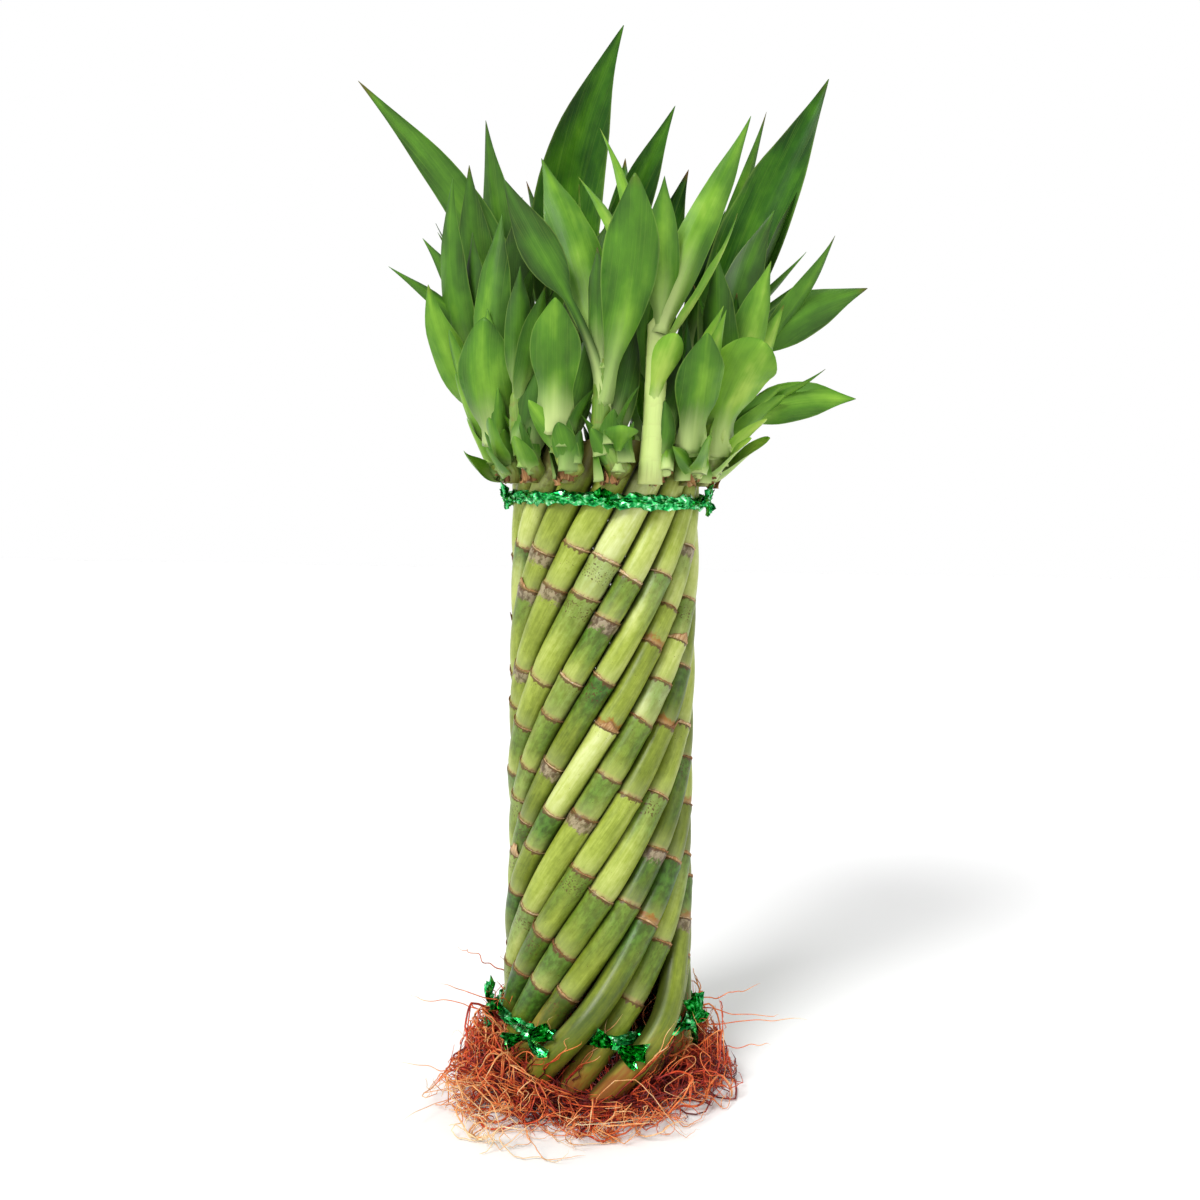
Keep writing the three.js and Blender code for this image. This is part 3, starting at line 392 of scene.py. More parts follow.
class Blade:
    """A leaf blade along a cubic curve from its stem to its tip."""

    def __init__(self, k, height, tip, width, shape):
        self.k = k
        self.height = height
        self.base = stem_point(k, height)
        self.tip = tip
        self.width = width
        self.shape = {**PLAIN_LEAF, **shape}
        for name, value in self.shape.items():
            setattr(self, name, value)
        self.round = self.shape.get("round", self.blunt)
        self.foot = self.shape.get("foot", 0.36 + 0.14 * self.round)
        self.stalk = self.shape.get("stalk", 0.8 * self.petiole)
        face = math.radians(self.face)
        self.facing = vector(math.sin(face), -math.cos(face), 0.15)
        chord = tip - self.base
        self.length = np.linalg.norm(chord)
        along = chord / self.length
        across = vector(along[2], 0, -along[0]) * self.side * self.length
        start = unit(along * (1 - self.rise) + UP * self.rise)
        end = unit(along * (1 + self.arch) - UP * self.arch)
        self.knee = self.base + start * 0.36 * self.length + across
        self.bend = tip - end * 0.34 * self.length + across

    def half_width(self, u):
        u = np.clip(u, 0, 1)
        if self.blunt >= 1:
            return 0.5 * self.width * (1 - u ** 2.4) ** 0.7
        neck = min(self.width, NECK_WIDTH + 5 * self.blunt) * (1 - u) ** 1.5
        t = np.clip((u - self.petiole) / (1 - self.petiole), 0, 1)
        fullest = 0.85 + 0.2 * self.blunt
        roundness = 0.95 - 0.45 * self.blunt
        body = self.width * np.maximum(0, np.sin(math.pi * t ** fullest)) ** roundness
        return 0.5 * np.where(t < 0.5, np.maximum(body, neck), body)

    def outline(self, u):
        """Half width of the finished leaf: a scale, or a clasping foot, a waist, and a lance or a spoon."""
        if self.round >= 1:
            foot = 0.7 + 0.2 * smoothstep(u / 0.3)
            return 0.5 * self.width * self.slim * foot * (1 - u ** 2.2) ** 0.85
        t = np.clip((u - self.stalk) / (1 - self.stalk), 0, 1)
        swell = np.maximum(0, np.sin(math.pi * t ** (math.log(0.5) / math.log(self.full))))
        narrow = 1 - 0.34 * smoothstep((u - 0.7) / 0.3) * (1 - self.round)
        body = swell ** (0.86 - 0.34 * self.round) * narrow
        waist = 0.38 * min(1, 0.5 / self.foot) ** 3
        neck = max(self.foot, 3.2 / self.width) * (1 - waist * smoothstep(u / 0.25)) * (1 - u) ** 0.6
        return 0.5 * self.width * self.slim * (body ** 3 + neck ** 3) ** (1 / 3)

    def middle(self, u):
        u = np.asarray(u, dtype=float)[:, None]
        v = 1 - u
        point = self.base * v ** 3 + self.knee * 3 * v * v * u + self.bend * 3 * v * u * u + self.tip * u ** 3
        slope = (self.knee - self.base) * v * v + (self.bend - self.knee) * 2 * v * u
        return point, unit(slope + (self.tip - self.bend) * u * u)

    def frames(self, u):
        point, t = self.middle(u)
        side = unit(np.cross(self.facing, t))
        normal = np.cross(t, side)
        return point, t, side, normal

    def grid(self, u, x):
        """Points on the cupped middle surface, for stations u and shares x of the half width."""
        point, _, side, normal = self.frames(u)
        half = self.half_width(u)
        cup = half * (0.55 * (1 - u) ** 1.5 + 0.16)
        bulge = cup[:, None] * (1 - np.abs(x) ** 1.5)
        flat = point[:, None] + side[:, None] * (half[:, None] * x)[..., None]
        return flat + normal[:, None] * bulge[..., None]


# Space that is taken, as a grid of cells. A cell holds its shoot's number or one of these.
FREE = -1
SHARED = -2
CANE_OWNER = 99
CELL_COUNTS = (130, 130, 220)
CELL_SHIFT = np.array([65, 65, 10])
STEM_MARKS = 25
MARK_SIDES = 12
taken = np.full(CELL_COUNTS, FREE, dtype=np.int16)
own_taken = np.zeros((CANES,) + CELL_COUNTS, dtype=bool)


def cells_of(points):
    """The cells that the points lie in, each one once."""
    cells = np.floor(points.reshape(-1, 3) / CELL).astype(int) + CELL_SHIFT
    return np.unique(cells, axis=0)


def around_cells(cells, corners):
    """The cells and their neighbours, with or without the ones at the corners."""
    steps = np.stack(np.meshgrid([-1, 0, 1], [-1, 0, 1], [-1, 0, 1], indexing="ij"), -1).reshape(-1, 3)
    if not corners:
        steps = steps[np.abs(steps).sum(axis=1) <= 1]
    return np.unique((cells[:, None] + steps).reshape(-1, 3), axis=0)


def claim(cells, owner):
    """Marks cells and their neighbours as the owner's, or as shared if another has them."""
    x, y, z = around_cells(cells, True).T
    now = taken[x, y, z]
    taken[x, y, z] = np.where((now == FREE) | (now == owner), owner, SHARED)


def is_free(cells, owner):
    now = taken[tuple(cells.T)]
    return bool(np.all((now == FREE) | (now == owner)))


def tube_ring(centre, tangent, radius, sides, out):
    """Rings of points square to the tangent, starting on the side that faces out."""
    n = unit(out - tangent * np.sum(out * tangent, axis=-1, keepdims=True))
    b = np.cross(tangent, n)
    a = circle(sides)
    r = np.asarray(radius)[..., None, None] if np.ndim(radius) == 1 else radius
    spokes = n[..., None, :] * np.cos(a)[:, None] + b[..., None, :] * np.sin(a)[:, None]
    return centre[..., None, :] + spokes * r


def claim_fixed():
    """Marks the space of the stems and of the cane tops."""
    level = np.broadcast_to(UP, (STEM_MARKS, 3))
    for k in range(CANES):
        z = np.linspace(STEM_FOOT_Z, STEM_TOPS[k], STEM_MARKS)
        rings = tube_ring(stem_point(k, z), level, stem_radius(k, z), MARK_SIDES, outward(stem_angle(k, z)))
        claim(cells_of(rings), k)
    for k in range(CANES):
        z = np.arange(TOP_TIE_Z, cane_top(k) + CELL, CELL / 2)
        out = outward(cane_angle(k, z))
        rings = tube_ring(cane_point(k, z), cane_tangent(k, z), cane_radius(k, z), MARK_SIDES, out)
        claim(cells_of(rings), CANE_OWNER)


def blade_cells(blade, start):
    """The cells that a blade passes through, from a share of its length on."""
    steps = max(6, int(blade.length // CELL))
    wide = max(3, int(blade.width // CELL))
    u = np.arange(int(steps * start) + 1, steps + 1) / steps
    return cells_of(blade.grid(u, 2 * np.arange(wide + 1) / wide - 1))


def turned(v, degrees):
    """The vector, turned about the upright axis."""
    c = math.cos(math.radians(degrees))
    s = math.sin(math.radians(degrees))
    return vector(v[0] * c - v[1] * s, v[0] * s + v[1] * c, v[2])


def place(found, k, height, tip, width, shape, rule):
    """Adds a leaf in the first of the rule's ways that keeps it clear. One that finds no room is left out."""
    base = stem_point(k, height)
    for back, degrees, scale in rule["shifts"]:
        reach = turned(tip - base + vector(0, back, 0), degrees) * scale
        bent = dict(shape, face=shape.get("face", 0) + degrees)
        blade = Blade(k, height, base + reach, width * (0.5 + 0.5 * scale), bent)
        cells = blade_cells(blade, 0.06)
        outer = blade_cells(blade, rule["crosses"])
        if is_free(cells, k) and not own_taken[k][tuple(outer.T)].any():
            claim(cells, k)
            own_taken[k][tuple(around_cells(outer, False).T)] = True
            found[k].append(blade)
            return


def place_bracts(found, k):
    """Short cupped leaves that clasp the foot of each stem."""
    for i, spread in enumerate(BRACT_SPREADS):
        seed = k * 11 + i
        height = STEM_FOOT_Z + BRACT_PITCH * (i + 1.1)
        around = stem_angle(k, height) + math.radians(spread + 24 * (noise(seed, 5) - 0.5))
        length = 13 + 7 * noise(seed, 6) + BRACT_PITCH * i
        lean = math.radians(26 + 12 * noise(seed, 7) - 3 * i)
        tip = leaning(stem_point(k, height), outward(around), length, lean)
        right = smoothstep(tip[0] / 60 + 0.4)
        shape = dict(rise=-0.35, arch=-0.2, face=math.degrees(around) + 90, petiole=0, blunt=1, slim=0.82,
                     tone=0.36 + 0.24 * noise(seed, 8) + 0.3 * right, pale=0.4 + 0.5 * right)
        place(found, k, height, tip, 10 + 3 * noise(seed, 7), shape, BRACT)


def place_spiral(found, k):
    """Leaves in a spiral up each stem, long ones at the back and shorter ones inside the front."""
    at_back = is_at_back(k)
    out = stem_angle(k, STEM_TOPS[k])
    pulled = outward(out) * (0.7 if at_back else -0.7)
    for i in range(5 if at_back else 3):
        seed = k * 7 + i
        lengths, widths = SPIRAL_LONG if at_back and i < 3 else SPIRAL_SHORT
        height = STEM_TOPS[k] - 4 - SPIRAL_PITCH * i
        around = out + math.radians(SPIRAL_STEP * i + 60 * (noise(seed, 1) - 0.5))
        lean = math.radians(between(SPIRAL_LEAN, noise(seed, 3)))
        reach = (outward(around) + pulled) * FLATTENED
        tip = leaning(stem_point(k, height), reach, between(lengths, noise(seed, 2)), lean)
        face = math.degrees(math.atan2(reach[1], reach[0])) + 90
        shape = dict(rise=0.4, arch=0.25, face=face, tone=0.12 + 0.4 * noise(seed, 8))
        place(found, k, height, tip, between(widths, noise(seed, 4)), shape, FILLER)


def fill_crown(found):
    """More leaves wherever a shoot has room for one, kept off all that stands already. Their dark tones are
    partly the leaves' own deep green and partly painted shade inside the crown.
    """
    full = np.zeros(CELL_COUNTS, dtype=bool)
    for blades in found:
        for blade in blades:
            full[tuple(blade_cells(blade, 0.12).T)] = True
    for k in range(CANES):
        rng = np.random.default_rng(600 + k)
        out = stem_angle(k, STEM_TOPS[k])
        at_back = is_at_back(k)
        for _ in range(FILL_TRIES):
            draw = rng.random(8)
            height = STEM_FOOT_Z + 6 + (STEM_TOPS[k] - STEM_FOOT_Z - 8) * draw[0]
            around = out + math.pi * (2 * draw[1] - 1)
            length = between(FILL_LENGTH, draw[2])
            lean = math.radians(between(FILL_LEAN, draw[3]))
            reach = (outward(around) - outward(out) * (0.1 if at_back else 0.55)) * FLATTENED
            tip = leaning(stem_point(k, height), reach, length, lean)
            if tip[2] > (FILL_TOP_BACK if at_back else FILL_TOP_FRONT) or abs(tip[0]) > FILL_SIDE:
                continue
            face = math.degrees(math.atan2(reach[1], reach[0])) + 90
            width = between(FILL_WIDTH, draw[4]) * min(1, 0.45 + length / 90)
            shape = dict(rise=0.3 + 0.3 * draw[5], arch=0.3 * draw[6], face=face, petiole=0.08,
                         tone=0.05 + 0.4 * draw[7], pale=0.4, blunt=0.15)
            blade = Blade(k, height, tip, width, shape)
            cells = tuple(blade_cells(blade, 0.15).T)
            if not full[cells].any() and not (taken[cells] == CANE_OWNER).any():
                full[tuple(blade_cells(blade, 0.12).T)] = True
                found[k].append(blade)


def listed(table, columns, **common):
    """Shoot, height, tip, width and shape of each leaf in a table."""
    for k, height, tip, width, *values in table:
        named = values.pop() if isinstance(values[-1], dict) else {}
        yield k, height, vector(*tip), width, {**common, **dict(zip(columns, values)), **named}


def place_all():
    """The leaves of each shoot. The ones that are placed first have the choice of room."""
    found = [[] for _ in range(CANES)]
    claim_fixed()
    for leaf in listed(LEAVES, LEAF_COLUMNS):
        place(found, *leaf, CHOSEN)
    for k in range(CANES):
        place_bracts(found, k)
    for k in range(CANES):
        place_spiral(found, k)
    for k, *leaf in listed(FOOT_LEAVES, FOOT_LEAF_COLUMNS, petiole=0):
        found[k].append(Blade(k, *leaf))
    fill_crown(found)
    return found


def link(name, data):
    """A new object of the scene that holds the data."""
    made = bpy.data.objects.new(name, data)
    bpy.context.scene.collection.objects.link(made)
    return made


class Surface:
    """One mesh, gathered from closed skins of points with values for the materials."""

    def __init__(self, *channels):
        self.points = []
        self.values = {name: [] for name in channels}
        self.corners = []
        self.sizes = []
        self.slots = []
        self.creases = []
        self.count = 0

    def skin(self, rings, values, slot=0, closed=False, creased=()):
        """A closed skin over rings of points, with a fan at each end unless the rings close on themselves."""
        rows, sides = rings.shape[:2]
        for column in creased:
            line = self.count + column + sides * np.arange(rows)
            self.creases.append(np.stack([line[:-1], line[1:]], axis=-1))
        spans = rows if closed else rows - 1
        i, j = np.meshgrid(np.arange(spans), np.arange(sides), indexing="ij")
        after = (i + 1) % rows
        beside = (j + 1) % sides
        quads = np.stack([i * sides + j, i * sides + beside, after * sides + beside, after * sides + j], -1)
        quads = quads.reshape(-1, 4)
        flat = rings.reshape(-1, 3)
        fans = np.zeros((0, 3), dtype=int)
        if not closed:
            middles = np.stack([rings[0].mean(axis=0), rings[-1].mean(axis=0)])
            around = np.arange(sides)
            first = np.stack([np.full(sides, len(flat)), (around + 1) % sides, around], -1)
            last = np.stack([np.full(sides, len(flat) + 1), around, (around + 1) % sides], -1)
            last[:, 1:] += (rows - 1) * sides
            fans = np.concatenate([first, last])
            flat = np.concatenate([flat, middles])
        a, b, c, d = flat[quads.T]
        volume = np.sum(a * np.cross(b, c)) + np.sum(a * np.cross(c, d))
        if len(fans):
            a, b, c = flat[fans.T]
            volume += np.sum(a * np.cross(b, c))
        if volume < 0:
            quads = quads[:, ::-1]
            fans = fans[:, ::-1]
        for name, gathered in self.values.items():
            given = np.broadcast_to(np.asarray(values.get(name, (0, 0, 0)), dtype=float), (rows, sides, 3))
            gathered.append(given.reshape(-1, 3))
            if not closed:
                gathered.append(np.stack([given[0].mean(axis=0), given[-1].mean(axis=0)]))
        self.points.append(flat)
        for faces in (quads, fans):
            self.corners.append((faces + self.count).ravel())
            self.sizes.append(np.full(len(faces), faces.shape[1]))
            self.slots.append(np.full(len(faces), slot))
        self.count += len(flat)

    def sharpen(self, mesh):
        """Keeps the shading of a leaf's two faces apart along its margins."""
        if not self.creases:
            return
        ends = np.empty(2 * len(mesh.edges), dtype=np.int32)
        mesh.edges.foreach_get("vertices", ends)
        ends = np.sort(ends.reshape(-1, 2).astype(np.int64), axis=1)
        sharp = np.concatenate(self.creases)
        marked = np.isin(ends[:, 0] * self.count + ends[:, 1], sharp[:, 0] * self.count + sharp[:, 1])
        mesh.attributes.new("sharp_edge", "BOOLEAN", "EDGE").data.foreach_set("value", marked)

    def piece(self, name, materials, smooth=True):
        mesh = bpy.data.meshes.new(name)
        points = np.concatenate(self.points) * MM
        corners = np.concatenate(self.corners)
        sizes = np.concatenate(self.sizes)
        mesh.vertices.add(len(points))
        mesh.vertices.foreach_set("co", points.ravel())
        mesh.loops.add(len(corners))
        mesh.loops.foreach_set("vertex_index", corners.astype(np.int32))
        mesh.polygons.add(len(sizes))
        starts = np.concatenate([[0], np.cumsum(sizes)[:-1]])
        mesh.polygons.foreach_set("loop_start", starts.astype(np.int32))
        for material in materials:
            mesh.materials.append(material)
        mesh.polygons.foreach_set("material_index", np.concatenate(self.slots).astype(np.int32))
        mesh.polygons.foreach_set("use_smooth", np.full(len(sizes), smooth))
        mesh.update(calc_edges=True)
        self.sharpen(mesh)
        for channel, gathered in self.values.items():
            attribute = mesh.attributes.new(channel, "FLOAT_VECTOR", "POINT")
            attribute.data.foreach_set("vector", np.concatenate(gathered).ravel())
        return link(name, mesh)


def hand_over(piece, slot, *nodes):
    """Hangs a piece on the root body and hides the solids that it stands for. Its slot is not used."""
    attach(piece, "root")
    if nodes:
        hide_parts(*nodes)


def colour(code):
    """Linear red, green, blue and 1 from a code such as 7FA03C."""
    levels = [int(code[i:i + 2], 16) / 255 for i in (0, 2, 4)]
    return tuple(c / 12.92 if c <= 0.04045 else ((c + 0.055) / 1.055) ** 2.4 for c in levels) + (1.0,)


class Value:
    """A number or colour that a node gives out. Plain sums with it make the nodes for them."""

    def __init__(self, shader, socket):
        self.shader = shader
        self.socket = socket

    def __add__(self, other):
        return self.shader.maths("ADD", self, other)

    def __sub__(self, other):
        return self.shader.maths("SUBTRACT", self, other)

    def __rsub__(self, other):
        return self.shader.maths("SUBTRACT", other, self)

    def __mul__(self, other):
        return self.shader.maths("MULTIPLY", self, other)

    def __truediv__(self, other):
        return self.shader.maths("DIVIDE", self, other)

    def swing(self, size):
        """The value less a half, times the size."""
        return (self - 0.5) * size

    def fade(self, low, high, start=0.0, end=1.0):
        """A smooth step from start to end as the value goes from low to high."""
        return self.shader.node("MapRange", self, low, high, start, end, interpolation_type="SMOOTHSTEP")

    def towards(self, other, share):
        """The colour, moved towards another one by a share."""
        return self.shader.mix(self, other, share)


class Shader:
    """A material on the Principled shader, with short calls for the nodes that feed it."""

    def __init__(self, name, **sockets):
        self.material = bpy.data.materials.new(name)
        self.material.use_nodes = True
        self.tree = self.material.node_tree
        self.skin = self.tree.nodes["Principled BSDF"]
        for socket, value in sockets.items():
            self.skin.inputs[socket.replace("_", " ")].default_value = value

    def plug(self, socket, value):
        if isinstance(value, Value):
            self.tree.links.new(value.socket, socket)
        elif value is not None:
            socket.default_value = colour(value) if isinstance(value, str) else value

    def make(self, kind, inputs, **settings):
        made = self.tree.nodes.new("ShaderNode" + kind)
        for name, value in settings.items():
            setattr(made, name, value)
        for socket, value in zip(made.inputs, inputs):
            self.plug(socket, value)
        return made

    def node(self, kind, *inputs, **settings):
        return Value(self, self.make(kind, inputs, **settings).outputs[0])

    def values(self, name):
        """The three numbers that the mesh holds under a name."""
        source = self.make("Attribute", (), attribute_name=name)
        split = self.make("SeparateXYZ", (Value(self, source.outputs["Vector"]),))
        return [Value(self, socket) for socket in split.outputs]

    def maths(self, operation, a, b=None):
        return self.node("Math", a, b, operation=operation)

    def grain(self, scale, x, y, z, detail=2.0, rough=0.5):
        """Soft noise round a half, with features about 1 / scale mm wide."""
        where = self.node("CombineXYZ", x, y, z)
        return self.node("TexNoise", where, None, scale, detail, rough)

    def mix(self, a, b, share):
        made = self.make("Mix", (share,), data_type="RGBA", clamp_factor=True)
        self.plug(made.inputs[6], a)
        self.plug(made.inputs[7], b)
        return Value(self, made.outputs[2])

    def ramp(self, value, *stops):
        made = self.make("ValToRGB", (value,))
        elements = made.color_ramp.elements
        elements.remove(elements[1])
        elements[0].position = stops[0][0]
        elements[0].color = colour(stops[0][1])
        for at, code in stops[1:]:
            elements.new(at).color = colour(code)
        return Value(self, made.outputs[0])

    def bump(self, height, strength, depth):
        """A relief of some depth in millimetres."""
        made = self.make("Bump", ())
        for name, value in (("Height", height), ("Strength", strength), ("Distance", depth * MM)):
            self.plug(made.inputs[name], value)
        self.plug(self.skin.inputs["Normal"], Value(self, made.outputs["Normal"]))

    def finish(self, base, roughness, *relief):
        """The material, with its colour, its roughness and its relief if it has one."""
        if relief:
            self.bump(*relief)
        self.plug(self.skin.inputs["Base Color"], base)
        self.plug(self.skin.inputs["Roughness"], roughness)
        return self.material


def cane_material():
    """Fresh bark: lime to olive, streaked, deep green under some joints, brown at joints and feet, with
    painted shade on its flanks where the canes meet.
    """
    s = Shader("cane_bark", Specular_IOR_Level=0.28, Coat_Weight=0.03, Coat_Roughness=0.22)
    x, y, along = s.values("around")
    above, below, near = s.values("joint")
    cane, room, height = s.values("tone")
    cut, radial, deep = s.values("cut")
    bruised, banded, spotted = s.values("mark")
    shift = room * 37.0
    across = x + shift
    soft = s.grain(0.16, across, y, along * 0.22)
    mottle = s.grain(0.55, across, y, along * 0.6, 3.0, 0.6)
    streak = s.grain(1.5, x, y, along * 0.03 + shift, 3.0, 0.6)
    blotch = s.grain(0.4, across, y, along * 0.9, 3.0, 0.65)
    worn = s.grain(0.25, across, y, along * 0.3, 3.0, 0.6)
    dots = s.grain(1.3, x, y, along, 1.0)
    wavy = blotch.swing(9.0)

    level = cane * 0.28 + room * 0.42 + soft.swing(0.6) + streak.swing(0.3) + mottle.swing(0.3)
    bark = s.ramp(level + (height - 0.09) * 0.34, (0.12, "44541A"), (0.32, "64721E"), (0.46, "7C8A2C"),
                  (0.6, "94A23E"), (0.78, "B3BD66"), (1.0, "CDD498"))
    dark = (below + soft.swing(26.0)).fade(24.0, 3.0) * deep
    bark = bark.towards(s.mix("1C4012", "3A6E24", mottle.fade(0.35, 0.65)), dark * 0.85)
    bark = bark.towards("AEB578", above.fade(9.0, 1.0) * 0.25)
    bruise = (below + wavy).fade(5.0, 3.2) * bruised
    bark = bark.towards(s.mix("5A4438", "9A8872", mottle.fade(0.4, 0.6)), bruise * 0.85)
    band = (above + wavy).fade(4.0, 1.6) * banded
    bark = bark.towards("96561E", band * 0.8)
    more = below.fade(9.5, 7.0) * below.fade(1.5, 3.0) * (spotted * 0.14)
    more = more + below.fade(12.0, 1.0, 0.0, 0.05)
    bark = bark.towards("4F3216", (dots + more).fade(0.76, 0.8) * 0.8)
    ring = s.grain(0.8, x, y, along * 0.3 + shift)
    brown = (near / (ring.fade(0.35, 0.75) * 1.4 + 0.22)).fade(1.1, 0.55)
    bark = bark.towards("55351A", brown * 0.85)
    papery = above.fade(2.2, 0.9) * above.fade(0.1, 0.5)
    bark = bark.towards("B59A6A", papery * 0.4)

    foot = (height + cane.swing(0.14) + worn.swing(0.2)).fade(0.11, 0.0)
    bark = bark.towards("AC9436", foot * 0.6)
    bark = bark.towards("84461A", (height + worn.swing(0.22)).fade(0.07, 0.0) * 0.9)
    bark = bark.towards("584726", (height + blotch.swing(0.08)).fade(0.94, 0.985) * 0.8)
    # Painted shade: the bark is darkened towards its flanks and its inner side, where the canes meet and
    # shade each other.
    painted_gap_shade = x.fade(2.7, 0.2)
    bark = bark.towards("1E2408", painted_gap_shade * 0.78)
    dried = s.ramp(radial * 0.6 + dots * 0.6, (0.2, "5E4428"), (0.6, "9A7C4C"), (1.0, "7A5E34"))
    gloss = streak * 0.16 + (s.maths("MAXIMUM", foot, cut) * 0.3 + 0.3)
    relief = streak * 0.5 + brown * -0.8 + cut * dots * 3.0
    return s.finish(bark.towards(dried, cut), gloss, relief, 0.35, 0.4)


def leaf_material():
    """Glossy green blades with parallel veins, pale feet, thin light margins and dry tips."""
    s = Shader("leaf_blade", Specular_IOR_Level=0.14)
    across, up, seed = s.values("blade")
    x, y, tone = s.values("size")
    pale, under, dry = s.values("kind")
    shift = seed * 31.0
    edge = s.maths("ABSOLUTE", across)
    streak = s.grain(0.9, x + shift, y * 0.03, shift, 3.0, 0.6)
    cloud = s.grain(0.17, x * 0.6 + shift, y * 0.3, shift, 3.0)
    vein = s.grain(3.6, x + shift, y * 0.006, shift)

    # The middle of each blade is made lighter and its margins darker: partly the leaf's own paler middle,
    # partly a painted highlight along its cupped middle.
    level = tone + streak.swing(0.2) + cloud.swing(0.95) + (0.4 - edge) * 0.22 + (0.55 - up) * 0.12
    blade = s.ramp(level, (0.0, "102E0B"), (0.25, "26540F"), (0.5, "447816"), (0.75, "70A02A"),
                   (1.0, "A8C652"))
    blade = blade.towards("8CB040", vein.fade(0.5, 0.75, 0.0, 0.14))
    blade = blade.towards(blade.towards("7E9A52", 0.2), under * 0.6)
    foot = (up + edge * 0.14 + streak.swing(0.12)).fade(0.5, 0.05)
    blade = blade.towards("B9CB82", foot * pale)
    margin = edge.fade(0.92, 1.0) * up.fade(0.97, 0.8)
    blade = blade.towards("8FAE50", margin * 0.3)
    end = (up + streak.swing(0.05)).fade(0.93, 0.985)
    blade = blade.towards("5F4420", end * dry)
    gloss = under * 0.1 + 0.24 + streak * 0.1
    return s.finish(blade, gloss, vein * 0.6 + streak * 0.7, 0.3, 0.35)


def stem_material():
    """Pale yellow-green stem with darker streaks and brownish scars where sheaths end."""
    s = Shader("stem_skin", Specular_IOR_Level=0.5)
    x, y, along = s.values("around")
    ledge, tone, seed = s.values("joint")
    streak = s.grain(1.2, x + seed * 17.0, y, along * 0.05, 3.0)
    skin = s.ramp(tone + streak.swing(0.6), (0.0, "567C20"), (0.5, "8BA544"), (1.0, "BDD07C"))
    scar = ledge.fade(0.35, 0.05) * streak.fade(0.35, 0.55)
    skin = skin.towards("7E5A34", scar * tone.fade(1.0, 0.9, 0.08, 0.35))
    foot = (along + streak.swing(12.0)).fade(246.0, 238.0) * 0.6
    skin = skin.towards("6E4C2A", foot * tone.fade(1.0, 0.7, 0.4, 1.0))
    return s.finish(skin, streak * 0.15 + 0.3, streak, 0.25, 0.3)


def paper_material():
    """Dry, papery remains of sheaths: tan, streaked, darker at the torn edge."""
    s = Shader("dry_paper", Specular_IOR_Level=0.25)
    along, edge, seed = s.values("paper")
    grain = s.grain(1.6, along, edge * 0.4, seed * 23.0, 3.0, 0.6)
    skin = s.ramp(grain + seed.swing(0.5), (0.15, "5E3A22"), (0.45, "9A7044"), (0.7, "C2A378"),
                  (1.0, "DACDB6"))
    return s.finish(skin.towards("70492A", edge.fade(0.75, 1.0, 0.0, 0.6)), 0.75, grain, 0.4, 0.4)


def root_material():
    """Root strands, darkened to dark red low down near the canes as painted shade, then rust, and tan at tips
    and far out.
    """
    s = Shader("root_fibre", Specular_IOR_Level=0.35)
    along, seed, _ = s.values("strand")
    x, y, z = s.values("spot")
    grain = s.grain(0.35, x, y, z, 3.0, 0.6)
    reach = s.maths("SQRT", x * x + y * y)
    # Painted shade: roots low down and close to the canes are darkened towards dark red.
    inside = reach.fade(76.0, 46.0) * z.fade(22.0, 5.0)
    level = along * along * 0.3 + seed * 0.6 + grain.swing(0.7)
    level = level + reach.fade(64.0, 92.0) * 0.34 - inside * 0.46 + 0.05
    skin = s.ramp(level, (0.0, "561416"), (0.16, "92241E"), (0.32, "C64422"), (0.5, "DE7236"),
                  (0.74, "E2A266"), (1.0, "F0D4A8"))
    return s.finish(skin, grain * 0.2 + 0.45, s.grain(1.7, x, y, z), 0.5, 0.3)


def foil_material():
    """Crinkled green metallic foil, its colour patched from dark green to pale green-white as painted
    reflections and glints.
    """
    s = Shader("green_foil", Metallic=1.0, Specular_IOR_Level=0.5)
    spot = s.values("spot")
    crease = s.grain(0.9, *spot, 3.0, 0.65)
    # Painted reflections and glints: the foil's colour is patched per facet from dark green to pale
    # green-white.
    painted_facet_glints = s.grain(0.55, *spot, 1.0)
    tint_and_painted_glints = s.ramp(painted_facet_glints * 0.7 + crease * 0.3, (0.34, "085020"), (0.45, "179042"), (0.55, "48C870"),
                  (0.67, "BFF4CC"))
    return s.finish(tint_and_painted_glints, crease * 0.15 + 0.12, crease, 0.2, 0.4)


def ripple(angle, seed, orders=(2, 3, 5, 8, 13)):
    """A wavy line round a circle, mostly between -1 and 1."""
    total = 0
    for i, order in enumerate(orders):
        strength = 0.3 + 0.7 * noise(seed, 300 + i)
        total = total + strength * np.sin(order * angle + 2 * math.pi * noise(seed, 310 + i)) / (i + 1) ** 0.5
    return total / 1.6


# Canes. FOOT_RINGS and CUT_RINGS close their ends: (share of the width, depth). CUT_DRY says how dry the
# last rings are, and CUT_RADIAL how far out they lie on the cut.
BARK_SIDES = 24
BARK_STEP = 1.6
BARK_FOOT = 1.6
BARK_FULLNESS = 1.085
BARK_INSET = 0.3
JOINT_STATIONS = np.array([-3.2, -2.2, -1.4, -0.8, -0.4, -0.12, 0.12, 0.4, 0.8, 1.3, 2.0, 2.9])
JOINT_ROOM = 3.6
JOINT_TILT = 0.4
FAR = 30
FOOT_RINGS = ((0.5, 0.9), (0.85, 0.5))
CUT_RINGS = ((0.9, -0.1), (0.78, 0.5), (0.4, 1.1))
CUT_LENGTH = 9
CUT_DRY = np.array([0.5, 1, 1, 1])
CUT_RADIAL = np.array([0.9, 0.7, 0.3])


def joint_tilt(joint):
    """How far a joint's ring rises and falls round the cane."""
    return JOINT_TILT * (0.4 + noise(joint, 52))


